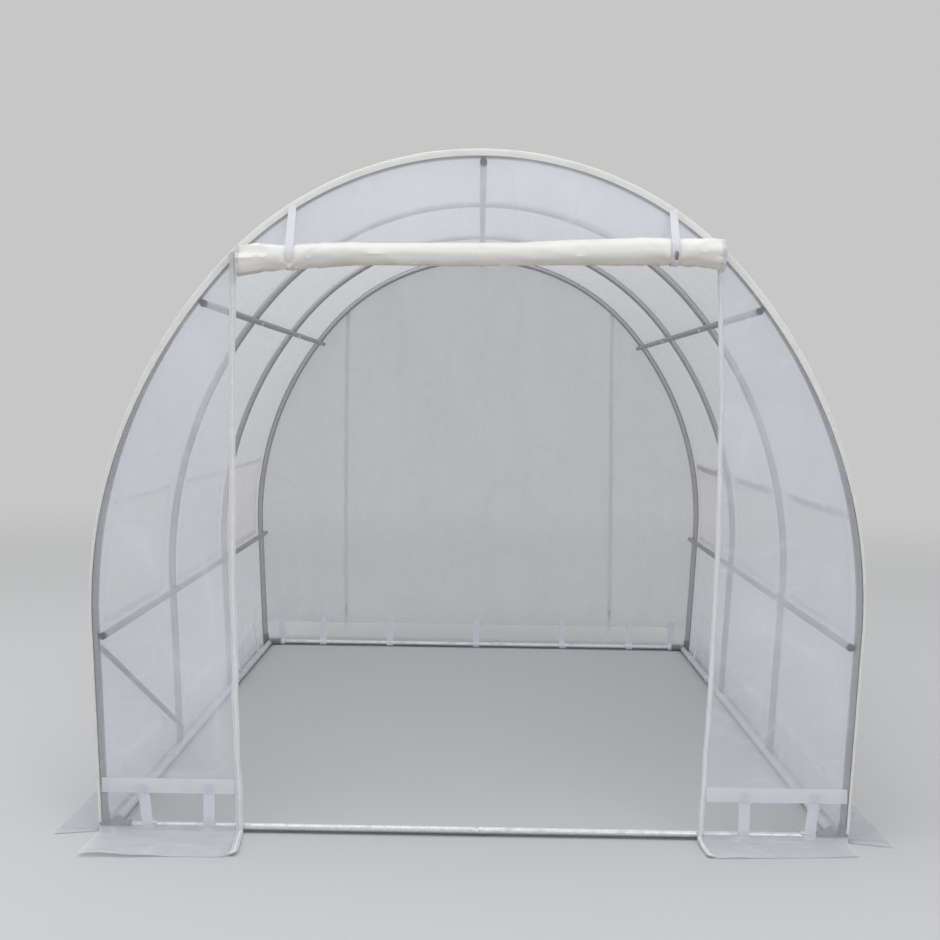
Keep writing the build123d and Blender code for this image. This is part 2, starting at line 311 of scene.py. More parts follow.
class Surface:
    """A curved sheet with two coordinates in metres, on which pieces are laid."""

    def place(self, u: Number, v: Number, lift: Number = 0.0) -> Array:
        """Points of the sheet, or at a height over its outer face."""
        raise NotImplementedError

    def laid(self, u: Array, v: Array, low: Number, high: Number) -> "Shape":
        """A closed flat piece, with its back and front at two heights over the sheet."""
        u, v = np.broadcast_arrays(u, v)
        return Shape.between(self.place(u, v, high), self.place(u, v, low), np.stack([u, v], -1))

    def skin(self, u: Array, v: Array, lift: Number) -> "Shape":
        """A piece of one layer at a height over the sheet."""
        u, v = np.broadcast_arrays(u, v)
        return Shape.grid(self.place(u, v, lift), np.stack([u, v], -1))


class CoverSurface(Surface):
    """The cover from ground flap to ground flap.

    The first coordinate runs over the crown, negative on the left. The second is the place along the tunnel.
    """

    flap_margin = 0.004
    sag_depth = 0.010
    ripple_depth = 0.0036
    tug_depth = 0.0026
    tuck_depth = 0.003
    crease_depth = 0.0011
    crease_width = 0.006
    curl_height = 0.008
    creases_across = (0.31, 0.93, 1.55)
    creases_along = (-1.13, -0.38, 0.37, 1.12)

    def __init__(self) -> None:
        """Sets out the line across the tunnel and the film's folds."""
        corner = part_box("skirts_side")[1]
        self.line = LINE.right_half(COVER_OFFSET, corner.x - self.flap_margin)
        self.flare = corner.y / END_FACE
        self.fold = sum(length for length, _ in self.line.runs[:3])
        self.fold_length = self.line.runs[3][0]
        self.sag, self.ripples, self.tugs = Unevenness(11), Unevenness(12), Unevenness(13)
        self.places = np.linspace(0.0, self.fold, 2000)
        self.wall = self.line.at(self.places)[0]

    def stop_at_height(self, height: float) -> float:
        """First coordinate where the right wall has a height."""
        return float(np.interp(height, self.wall[::-1, 1], self.places[::-1]))

    def reach(self, height: Number) -> Array:
        """Half-width of the tunnel at a height."""
        return np.interp(-np.asarray(height, float), -self.wall[:, 1], self.wall[:, 0])

    def give(self, u: Array, v: Array) -> Array:
        """How far the film stands out from the hoops' line, negative where it sags.

        Args:
            u: distance over the crown from the ridge.
            v: place along the tunnel.

        Returns:
            The distance at each place.
        """
        across = np.abs(u)
        phase = np.clip((v - HOOP_PLACES[0]) / BAY, 0.0, len(HOOPS) - 1.0 - 1e-9) % 1.0
        loose = 4 * phase * (1 - phase)
        on_wall = 1 - eased((across - self.fold + 0.16) / 0.14)
        deep = self.sag_depth + 0.004 * self.sag(across * 1.3 + 9 * np.sign(u), v * 0.7)
        soft = self.ripple_depth * self.ripples.rough(u * 3.1 + v * 1.2, v * 2.3)
        tugs = self.tug_depth * self.tugs.folds(u * 1.4 + 5, (v + 0.25 * u) * 9.0, 4.0)
        tugs = tugs * eased(1.6 * (1 - loose))
        crease = sum(bell(across - place, self.crease_width) for place in self.creases_across)
        crease = crease + sum(bell(v - place, self.crease_width) for place in self.creases_along)
        low = eased((across - self.fold + 0.16) / 0.1) * eased((self.fold - across) / 0.03)
        tucks = self.tugs.folds(v * 6.0, across * 2.0 + 4 * np.sign(u), 3.0)
        tucks = self.tuck_depth * tucks * np.sqrt(loose)
        shallow = np.sqrt(loose) * (soft - tugs - self.crease_depth * crease)
        return on_wall * (shallow - deep * loose) + low * tucks

    def place(self, u: Number, v: Number, lift: Number = 0.0) -> Array:
        """Points of the cover.

        Args:
            u: distance over the crown from the ridge.
            v: place along the tunnel.
            lift: height over the film.

        Returns:
            Points in metres, with a last axis of three.
        """
        u, v = np.broadcast_arrays(np.asarray(u, float), np.asarray(v, float))
        side = np.where(u < 0, -1.0, 1.0)
        point, normal = self.line.at(np.abs(u))
        out = np.clip((np.abs(u) - self.fold) / (self.line.length - self.fold), 0.0, 1.0)
        curl = np.maximum(0.4 + self.ripples.rough(v * 5.0 + side * 20, out + 4), 0.0)
        rise = self.give(u, v) + self.curl_height * out * curl + lift
        flare = 1 + out * (self.flare - 1)
        across = side * (point[..., 0] + rise * normal[..., 0])
        return np.stack([across, v * flare, point[..., 1] + rise * normal[..., 1]], -1)


COVER = CoverSurface()


class EndSurface(Surface):
    """The film of one end and its ground flap.

    The first coordinate is across the tunnel. The second is the height on the upright film, and goes on below
    the fold along the ground.
    """

    top = 2.0
    belly_depth = 0.008
    pull_depth = 0.0036
    sway_depth = 0.003
    tuck_depth = 0.0026
    crease_depth = 0.001
    crease_width = 0.006
    curl_height = 0.009
    creases = (0.52, 1.06)

    def __init__(self, end: End) -> None:
        """Sets out the line down the end and the film's folds.

        Args:
            end: which end it is.
        """
        self.end = end
        drop = self.top - LINE.lie - LINE.fold_radius
        self.fold_length = LINE.fold_radius * math.pi / 2
        low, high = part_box("skirts_front")
        self.flap = high.y - low.y - LINE.fold_radius
        runs = ((drop, 0.0), (self.fold_length, math.pi / 2), (self.flap, 0.0))
        self.line = BentLine((0.0, self.top), -math.pi / 2, runs)
        self.fold = self.top - drop
        self.tip = self.top - self.line.length
        seed = 20 if end is End.FRONT else 30
        self.ripples, self.pulls, self.flutter = Unevenness(seed), Unevenness(seed + 1), Unevenness(seed + 2)
        self.roll_height = middle("door_roll").z

    def reach(self, height: Number) -> Array:
        """Half-width of the end's film at a height, and of its flap."""
        return COVER.reach(np.maximum(height, self.fold)) - FILM_GAP

    def give(self, u: Array, v: Array) -> Array:
        """How far the film bellies out from the end's plane.

        Args:
            u: place across the tunnel.
            v: height.

        Returns:
            The distance at each place.
        """
        inside = LINE.depth(u, np.maximum(v, 0.3), COVER_OFFSET)
        held = eased(inside / 0.16) * eased((v - 0.15) / 0.25)
        soft = 0.5 + 0.5 * self.ripples.rough(u * 2.4 + 3, v * 1.7)
        drawn = self.pulls.folds(u * 7.0 + 1.5 * v, v * 1.1 + 2, 5.0)
        if self.end is End.FRONT:
            held = held * (1 - bell(v - self.roll_height, 0.07))
        crease = sum(bell(v - place, self.crease_width) for place in self.creases)
        low = eased((0.34 - v) / 0.2) * eased((v - self.fold) / 0.02)
        tucks = self.pulls.folds(u * 9.0 + 4, v * 1.5, 3.0)
        sway = self.flutter(u * 3.3 + 0.8 * v, v * 0.8 + 6)
        wide = self.belly_depth * soft + self.pull_depth * drawn + self.sway_depth * sway
        return held * (wide - self.crease_depth * crease) + self.tuck_depth * low * tucks

    def place(self, u: Number, v: Number, lift: Number = 0.0) -> Array:
        """Points of the end's film.

        Args:
            u: place across the tunnel.
            v: height, or minus the distance along the ground from the fold.
            lift: height over the film.

        Returns:
            Points in metres, with a last axis of three.
        """
        u, v = np.broadcast_arrays(np.asarray(u, float), np.asarray(v, float))
        point, normal = self.line.at(self.top - v)
        out = np.clip((self.fold - v) / (self.fold - self.tip), 0.0, 1.2)
        curl = self.curl_height * out * np.maximum(0.35 + self.flutter.rough(u * 6.0, out * 2), 0.0)
        rise = self.give(u, v) + curl + lift
        away = END_FACE + point[..., 0] + rise * normal[..., 0]
        return np.stack([u, self.end.value * away, point[..., 1] + rise * normal[..., 1]], -1)


class Signal:
    """A shader socket that can be used in sums."""

    def __init__(self, graph: "Graph", socket: bpy.types.NodeSocket) -> None:
        """Wraps an output socket."""
        self.graph = graph
        self.socket = socket

    def _join(self, kind: str, other: Any, swapped: bool = False) -> "Signal":
        """Adds the node for a sum with another signal, number or tuple.

        Args:
            kind: the operation's name, which Math, Vector Math and Mix share.
            other: signal, number or tuple.
            swapped: True if the other one comes first.

        Returns:
            The result.
        """
        pair = (other, self) if swapped else (self, other)
        types = {item.socket.type for item in pair if isinstance(item, Signal)}
        if "RGBA" in types:
            first, second = (self._wide(item, 4) for item in pair)
            inputs = {0: 1.0, 6: first, 7: second}
            return self.graph.node("ShaderNodeMix", inputs, 2, data_type="RGBA", blend_type=kind)
        if "VECTOR" in types:
            first, second = (self._wide(item, 3) for item in pair)
            return self.graph.node("ShaderNodeVectorMath", {0: first, 1: second}, operation=kind)
        return self.graph.node("ShaderNodeMath", {0: pair[0], 1: pair[1]}, operation=kind)

    @staticmethod
    def _wide(item: Any, size: int) -> Any:
        """A number as a colour or vector, and anything else as it is."""
        return (item,) * size if isinstance(item, (int, float)) else item

    def __add__(self, other: Any) -> "Signal":
        """Sum."""
        return self._join("ADD", other)

    def __radd__(self, other: Any) -> "Signal":
        """Sum."""
        return self._join("ADD", other, True)

    def __sub__(self, other: Any) -> "Signal":
        """Difference."""
        return self._join("SUBTRACT", other)

    def __rsub__(self, other: Any) -> "Signal":
        """Difference."""
        return self._join("SUBTRACT", other, True)

    def __mul__(self, other: Any) -> "Signal":
        """Product."""
        return self._join("MULTIPLY", other)

    def __pow__(self, other: Any) -> "Signal":
        """Power."""
        return self._join("POWER", other)

    def __abs__(self) -> "Signal":
        """Size without its sign."""
        return self.graph.node("ShaderNodeMath", {0: self}, operation="ABSOLUTE")

    def higher(self, other: Any) -> "Signal":
        """The higher of two values."""
        return self.graph.node("ShaderNodeMath", {0: self, 1: other}, operation="MAXIMUM")

    def distance(self, place: float, other: "Signal", level: float) -> "Signal":
        """Distance of this coordinate and another one from a point."""
        across, along = self - place, other - level
        return (across * across + along * along) ** 0.5

    def wave(self, length: float) -> "Signal":
        """Cosine of this distance, from 0 to 1, that repeats after a length."""
        turned = self * (2 * math.pi / length)
        return self.graph.node("ShaderNodeMath", {0: turned}, operation="COSINE") * 0.5 + 0.5

    def rise(self, low: float, high: float) -> "Signal":
        """Eased step from 0 to 1 between two levels."""
        inputs = {0: self, 1: low, 2: high, 3: 0.0, 4: 1.0}
        return self.graph.node("ShaderNodeMapRange", inputs, interpolation_type="SMOOTHSTEP")

    def between(self, low: Colour, high: Colour) -> "Signal":
        """Colour between two colours, by this value."""
        inputs = {0: self, 6: (*low, 1.0), 7: (*high, 1.0)}
        return self.graph.node("ShaderNodeMix", inputs, 2, data_type="RGBA")

    def toward(self, tint: Colour, share: "Signal") -> "Signal":
        """This colour, mixed toward a tint by a share."""
        return self.graph.node("ShaderNodeMix", {0: share, 6: self, 7: (*tint, 1.0)}, 2, data_type="RGBA")


class Graph:
    """Node tree of a material or of the world."""

    def __init__(self, tree: bpy.types.NodeTree) -> None:
        """Starts with an empty tree."""
        self.tree = tree
        self.tree.nodes.clear()

    def _new(self, kind: str, inputs: dict[int | str, Any], **settings: Any) -> bpy.types.Node:
        """Adds a node and fills its inputs.

        Args:
            kind: the node's type.
            inputs: value or signal of each socket, by number or name.
            **settings: the node's own settings, set first.

        Returns:
            The node.
        """
        node = self.tree.nodes.new(kind)
        for key, value in settings.items():
            setattr(node, key, value)
        for key, value in inputs.items():
            if isinstance(value, Signal):
                self.tree.links.new(value.socket, node.inputs[key])
            else:
                node.inputs[key].default_value = value
        return node

    def node(
        self, kind: str, inputs: dict[int | str, Any] | None = None, output: int | str = 0, **settings: Any
    ) -> Signal:
        """One output of a new node, as a signal."""
        return Signal(self, self._new(kind, inputs or {}, **settings).outputs[output])

    @property
    def position(self) -> Signal:
        """Place in the tunnel's frame, in metres."""
        return self.node("ShaderNodeTexCoord", output="Object")

    def part(self, vector: Signal, axis: int) -> Signal:
        """One coordinate of a vector."""
        return self.node("ShaderNodeSeparateXYZ", {0: vector}, axis)

    @property
    def cloth(self) -> tuple[Signal, Signal]:
        """Both coordinates on a laid piece, in metres."""
        flat = self.node("ShaderNodeTexCoord", output="UV")
        return self.part(flat, 0), self.part(flat, 1)

    def noise(self, scale: float, detail: float = 2.0, stretch: Triple = (1, 1, 1)) -> Signal:
        """Noise from 0 to 1, by its cells for each metre, finer layers and factor on each direction."""
        inputs = {"Vector": self.position * stretch, "Scale": scale, "Detail": detail}
        return self.node("ShaderNodeTexNoise", inputs)

    def creases(self, scale: float, stretch: Triple = (1, 1, 1)) -> Signal:
        """Long soft creases that come and go, from 0 to 1."""
        return (1 - abs(self.noise(scale, 1.0, stretch) * 2 - 1)) ** 14

    def bump(self, height: Signal, distance: float, strength: float = 1.0) -> Signal:
        """Normal of a height from 0 to 1 that stands for a distance."""
        inputs = {"Strength": strength, "Distance": distance, "Height": height}
        return self.node("ShaderNodeBump", inputs, "Normal")

    def mixed(self, factor: Signal | float, first: Signal, second: Signal) -> Signal:
        """Mix of two shaders."""
        return self.node("ShaderNodeMixShader", {0: factor, 1: first, 2: second})

    def output(self, shader: Signal, kind: str = "ShaderNodeOutputMaterial") -> None:
        """Sends a shader to the output."""
        self._new(kind, {"Surface": shader})


@dataclass(frozen=True)
class Finish:
    """A finish that makes its own material, with the record's slot that it stands for."""

    name: str
    slot: str = ""

    def shader(self, graph: Graph) -> Signal:
        """Adds the finish's nodes and returns its shader."""
        raise NotImplementedError


@cache
def material_of(finish: Finish) -> bpy.types.Material:
    """The material of a finish, made once.

    Args:
        finish: the finish.

    Returns:
        Its material.
    """
    material = bpy.data.materials.new(finish.name)
    material.use_nodes = True
    graph = Graph(material.node_tree)
    graph.output(finish.shader(graph))
    return material


@dataclass(frozen=True)
class FilmFinish(Finish):
    """Soft translucent film, more dusty low down.

    Its haze is the share of the light that it scatters, and a share of that goes on through it. It is clearer
    where a tube touches it, and under an end's hem. The soil and shade turn is a strip across a rolled sheet's
    underside, tinted warm brown: painted warm shade, with soil blotches.
    """

    slot: str = "cover_film"
    tint: Colour = (0.56, 0.575, 0.61)
    haze: float = 0.62
    through: float = 0.42
    soiling: float = 0.12
    contact: float = 0.0
    clear_foot: float = 0.0
    creased: float = 0.0
    over_hoops: bool = False
    # Strip down a rolled sheet, in metres of cloth, that is tinted warm brown: painted warm shade under the
    # roll, with soil blotches.
    soil_and_shade_turn: tuple[float, float] | None = None
    lying_tint: Colour = (0.96, 0.962, 1.0)
    dust_tint: Colour = (0.40, 0.38, 0.33)
    soil_and_shade_tint: Colour = (0.70, 0.625, 0.54)

    def _touching(self, graph: Graph) -> Signal:
        """Where the film lies on a hoop, from 0 to 1.

        Args:
            graph: node tree of the material.

        Returns:
            The mask.
        """
        place = graph.position
        if self.over_hoops:
            return (graph.part(place, 1) - HOOP_PLACES[0]).wave(BAY).rise(0.9975, 0.9995)
        x, z = abs(graph.part(place, 0)), graph.part(place, 2)
        up = z - LINE.crown_height
        side_x, side_z = (float(value) for value in LINE.side_centre)
        crown_depth = LINE.crown_radius - (x * x + up * up) ** 0.5
        side_depth = LINE.side_radius - x.distance(side_x, z, side_z)
        steep = (x - up * math.tan(LINE.crown_turn)).rise(-0.001, 0.001)
        bow_depth = crown_depth * (1 - steep) + side_depth * steep
        leg_x, leg_z = (float(value) for value in LINE.leg_top(0.0))
        leg_depth = (leg_x + (z - leg_z) * math.tan(LINE.leg_lean) - x) * math.cos(LINE.leg_lean)
        on_leg = 1 - z.rise(leg_z - 0.001, leg_z + 0.001)
        depth = bow_depth * (1 - on_leg) + leg_depth * on_leg
        touching = 1 - depth.rise(0.007, 0.016)
        for rail in ("ridge_rail", "shoulder_rail_right", "waist_rail_right"):
            cap = middle(rail)
            touching = touching.higher(1 - x.distance(cap.x, z, cap.z).rise(0.010, 0.017))
        return touching * z.rise(0.08, 0.14)

    def shader(self, graph: Graph) -> Signal:
        """Adds the film's nodes.

        Args:
            graph: node tree of the material.

        Returns:
            The film's shader.
        """
        cloud = graph.noise(3.2, 1.0)
        streaks = graph.noise(15.0, 1.0, (1.0, 1.0, 0.10))
        height = graph.part(graph.position, 2)
        lying = 1 - height.rise(0.012, 0.018)
        dust = (1 - height.rise(0.0, 0.42)) * graph.noise(9.0, 2.0).rise(0.34, 0.74)
        dark = tuple(0.93 * level for level in self.tint)
        colour = cloud.rise(0.25, 0.8).between(dark, self.tint)
        colour = colour.toward(self.lying_tint, lying * 0.85).toward(self.dust_tint, dust * self.soiling)
        wrinkles = graph.noise(26.0, 1.0) * 0.6 + graph.creases(5.0, (1.0, 1.0, 0.5)) * 0.5
        normal = graph.bump(wrinkles, 0.0028, 0.7)
        # Painted warm shade under the roll, with soil blotches: the strip of the rolled sheet that faces down
        # is tinted warm brown.
        if self.soil_and_shade_turn is not None:
            start, end = self.soil_and_shade_turn
            down = graph.cloth[1] + graph.noise(6.0, 2.0) * 0.02
            strip = down.rise(start, start + 0.025) * (1 - down.rise(end - 0.015, end))
            soil_and_shade = strip * (graph.noise(14.0, 4.0).rise(0.2, 0.8) * 0.6 + 0.35)
            colour = colour.toward(self.soil_and_shade_tint, soil_and_shade)
        skin = {
            "Base Color": colour,
            "Roughness": cloud.rise(0.2, 0.8) * 0.14 + 0.24,
            "Specular IOR Level": 0.5,
            "Normal": normal,
        }
        face = graph.node("ShaderNodeBsdfPrincipled", skin)
        glow = graph.node("ShaderNodeBsdfTranslucent", {"Color": (*self.tint, 1.0), "Normal": normal})
        clear = graph.node("ShaderNodeBsdfTransparent", {"Color": (0.95, 0.955, 0.965, 1.0)})
        body = graph.mixed(self.through, face, glow)
        haze = cloud * 0.14 + streaks * 0.18 + dust * self.soiling + (self.haze - 0.16)
        if self.creased:
            patches = cloud.rise(0.42, 0.60)
            haze = haze + graph.creases(3.4, (1.0, 1.0, 0.42)) * patches * self.creased
            haze = haze + graph.creases(6.5, (0.6, 0.6, 1.0)) * (1 - patches) * (self.creased * 0.6)
        if self.contact:
            haze = haze * (1 - self._touching(graph) * self.contact)
        if self.clear_foot:
            corner = abs(graph.part(graph.position, 0)).rise(0.84, 0.92)
            strip = (1 - height.rise(0.100, 0.112)) * (1 - lying) * (1 - corner * 0.55)
            haze = haze * (1 - strip * self.clear_foot)
        return graph.mixed(haze + lying * 0.20, clear, body)


@dataclass(frozen=True)
class SteelFinish(Finish):
    """Galvanised tube with a spangle, dull patches, fine scratches and soil stains low down; faces that look
    down get painted shade.
    """

    slot: str = "galvanised_steel"
    tint: Colour = (0.44, 0.445, 0.46)
    stain: float = 0.35
    # How much painted shade darkens faces that look down; the dark tint below serves for this painted shade
    # and for soil stains near the ground.
    painted_underside_shade: float = 0.25
    soil_and_shade_tint: Colour = (0.13, 0.12, 0.11)

    def shader(self, graph: Graph) -> Signal:
        """Adds the steel's nodes.

        Args:
            graph: node tree of the material.

        Returns:
            The steel's shader.
        """
        cells = {"Vector": graph.position, "Scale": 130.0}
        spangle = graph.node("ShaderNodeTexVoronoi", cells, "Distance", feature="F1")
        dull = graph.noise(11.0, 5.0)
        scratches = graph.noise(420.0, 2.0, (1.0, 0.03, 1.0)).rise(0.55, 0.75)
        height = graph.part(graph.position, 2)
        stain = (1 - height.rise(0.0, 0.10)) * graph.noise(38.0, 4.0).rise(0.45, 0.7)
        patch = dull * 0.55 + spangle * 0.6 + scratches * 0.12
        colour = patch.rise(0.2, 0.95).between(tuple(0.86 * level for level in self.tint), self.tint)
        # Painted shade: faces that look down are darkened toward the dark tint.
        facing = graph.part(graph.node("ShaderNodeNewGeometry", output="Normal"), 2)
        below = (1 - facing.rise(-0.75, 0.15)) * self.painted_underside_shade
        skin = {
            "Base Color": colour.toward(self.soil_and_shade_tint, (stain * self.stain).higher(below)),
            "Metallic": 0.86 - stain * 0.3,
            "Roughness": dull * 0.2 + scratches * 0.08 + stain * 0.2 + 0.30,
            "Normal": graph.bump(spangle * 0.4 + scratches * 0.3 + dull * 0.3, 0.0003, 0.6),
        }
        return graph.node("ShaderNodeBsdfPrincipled", skin)


@dataclass(frozen=True)
class PlasticFinish(Finish):
    """Moulded plastic with a fine grain and pale scuffs."""

    slot: str = "black_plastic"
    tint: Colour = (0.022, 0.022, 0.025)
    scuff: Colour = (0.10, 0.10, 0.10)

    def shader(self, graph: Graph) -> Signal:
        """Adds the plastic's nodes.

        Args:
            graph: node tree of the material.

        Returns:
            The plastic's shader.
        """
        grain = graph.noise(900.0, 2.0)
        worn = graph.noise(60.0, 5.0).rise(0.56, 0.74)
        skin = {
            "Base Color": worn.between(self.tint, self.scuff),
            "Roughness": worn * 0.2 + grain * 0.12 + 0.36,
            "Normal": graph.bump(grain + worn * 0.4, 0.0003, 0.5),
        }
        return graph.node("ShaderNodeBsdfPrincipled", skin)


@dataclass(frozen=True)
class WebbingFinish(Finish):
    """Woven white tape.

    Some of the light goes on through it, and the sheer share of it is open.
    """

    slot: str = "white_webbing"
    tint: Colour = (0.84, 0.84, 0.86)
    shade: Colour = (0.60, 0.60, 0.64)
    yarn: float = 0.0018
    through: float = 0.25
    sheer: float = 0.0
    soil_and_shade_tint: Colour = (0.42, 0.39, 0.33)

    def shader(self, graph: Graph) -> Signal:
        """Adds the webbing's nodes.

        Args:
            graph: node tree of the material.

        Returns:
            The webbing's shader.
        """
        across, along = graph.cloth
        warp = (across + along * 0.5).wave(self.yarn)
        weft = (across - along * 0.5).wave(self.yarn)
        weave = warp.higher(weft)
        fuzz = graph.noise(700.0, 3.0)
        # Soil blotches on the tape.
        soil_and_shade = graph.noise(16.0, 5.0).rise(0.5, 0.8)
        colour = (weave * 0.7 + fuzz * 0.4).between(self.shade, self.tint)
        skin = {
            "Base Color": colour.toward(self.soil_and_shade_tint, soil_and_shade * 0.16),
            "Roughness": fuzz * 0.2 + 0.62,
            "Sheen Weight": 0.25,
            "Normal": graph.bump(weave + fuzz * 0.3, 0.0005, 0.7),
        }
        face = graph.node("ShaderNodeBsdfPrincipled", skin)
        glow = graph.node("ShaderNodeBsdfTranslucent", {"Color": (*self.tint, 1.0)})
        cloth = graph.mixed(self.through, face, glow)
        if not self.sheer:
            return cloth
        return graph.mixed(1 - (1 - weave * 0.5) * self.sheer, graph.node("ShaderNodeBsdfTransparent"), cloth)


@dataclass(frozen=True)
class NetFinish(Finish):
    """Fine insect net."""

    slot: str = "insect_net"
    tint: Colour = (0.82, 0.78, 0.80)
    pitch: float = 0.0016
    thread: float = 0.34

    def shader(self, graph: Graph) -> Signal:
        """Adds the net's nodes.

        Args:
            graph: node tree of the material.

        Returns:
            The net's shader.
        """
        across, along = graph.cloth
        edge = 1 - self.thread
        lattice = across.wave(self.pitch).higher(along.wave(self.pitch))
        mesh = lattice.rise(edge - 0.15, edge + 0.15)
        slub = graph.noise(70.0, 3.0)
        colour = slub.between(tuple(0.8 * level for level in self.tint), self.tint)
        skin = {"Base Color": colour, "Roughness": 0.6, "Normal": graph.bump(lattice, 0.0004, 0.6)}
        face = graph.node("ShaderNodeBsdfPrincipled", skin)
        glow = graph.node("ShaderNodeBsdfTranslucent", {"Color": (*self.tint, 1.0)})
        hole = graph.node("ShaderNodeBsdfTransparent")
        return graph.mixed(mesh * 0.85 + slub * 0.1, hole, graph.mixed(0.45, face, glow))


COVER_FILM = FilmFinish(
    "hazy_film", tint=(0.84, 0.86, 0.91), haze=0.60, through=0.56, contact=0.5, creased=0.16,
    over_hoops=True,
)
CRESCENT_FILM = FilmFinish("crescent_film", tint=(0.895, 0.91, 0.965), haze=0.62, contact=0.45, creased=0.20)
END_FILM = FilmFinish(
    "end_film", tint=(0.82, 0.835, 0.882), haze=0.46, through=0.36, contact=0.36, creased=0.22,
    clear_foot=0.84,
)
REAR_FILM = FilmFinish(
    "rear_film", tint=(0.74, 0.75, 0.77), haze=0.52, through=0.55, contact=0.5, creased=0.14,
    clear_foot=0.7,
)
HEM_FILM = FilmFinish("hem_film", tint=(0.93, 0.935, 0.975), haze=0.66, through=0.30)
DOUBLE_FILM = FilmFinish("double_film", tint=(1.0,) * 3, haze=0.78, through=0.92)
FLAP_FILM = FilmFinish("flap_film", tint=(1.0,) * 3, haze=0.74, through=0.90, soiling=0.05)
BORDER_FILM = FilmFinish("welded_border", tint=(1.0,) * 3, haze=0.68, through=0.90)
# The window rolls are the same rolled film as the door's roll, made whiter and more translucent so they read
# light in the wall's shade: a lit copy, painted light.
LIT_WINDOW_ROLL = FilmFinish("window_roll_film", "rolled_film", tint=(1.0, 0.99, 0.965), haze=0.90, through=0.25)
# The door's roll has a strip of painted warm shade, with soil blotches, where it faces down.
ROLLED_FILM = FilmFinish(
    "rolled_film", "rolled_film", tint=(0.865, 0.858, 0.832), haze=1.0, through=0.06, soiling=0.0,
    soil_and_shade_turn=(0.035, 0.115),
)
BINDING = WebbingFinish("cream_binding", tint=(1.0, 0.99, 0.965), shade=(0.93, 0.915, 0.885))
WEBBING = WebbingFinish("white_tape", tint=(0.96, 0.96, 1.0), shade=(0.88, 0.88, 0.94), through=0.22)
ROLL_WEBBING = WebbingFinish("roll_tape", tint=(0.90, 0.895, 0.95), shade=(0.80, 0.79, 0.86))
ZIP_TAPE = WebbingFinish("zip_tape", tint=(0.94, 0.94, 0.95), shade=(0.80, 0.80, 0.82), through=0.40)
REAR_ZIP_TAPE = WebbingFinish(
    "rear_zip_tape", tint=(1.0,) * 3, shade=(0.96, 0.96, 0.97), through=0.5, sheer=0.8,
)
ZIP_TEETH = PlasticFinish("zip_teeth", "white_webbing", (0.80, 0.80, 0.82), (0.88, 0.88, 0.89))
# One galvanised steel in three tints: the inner hoops lighter and the ground tubes much lighter stand in for
# the light on them (painted light), and the ground tubes are strongly darkened underneath (painted shade).
STEEL = SteelFinish("galvanised_tube")
LIT_INNER_STEEL = SteelFinish("inner_hoop_tube", tint=(0.56, 0.565, 0.585))
LIT_GROUND_STEEL = SteelFinish("ground_tube", tint=(0.84, 0.85, 0.87), stain=0.16, painted_underside_shade=0.80)
BRIGHT_STEEL = SteelFinish("plated_fasteners", tint=(0.78, 0.78, 0.78), painted_underside_shade=0.0)
BLACK_PLASTIC = PlasticFinish("black_moulding")
CONNECTOR_PLASTIC = PlasticFinish("connector_moulding", tint=(0.24, 0.243, 0.25), scuff=(0.38,) * 3)
TOGGLE_PLASTIC = PlasticFinish("toggle_moulding", tint=(0.20, 0.197, 0.20), scuff=(0.30,) * 3)
NET = NetFinish("insect_net")


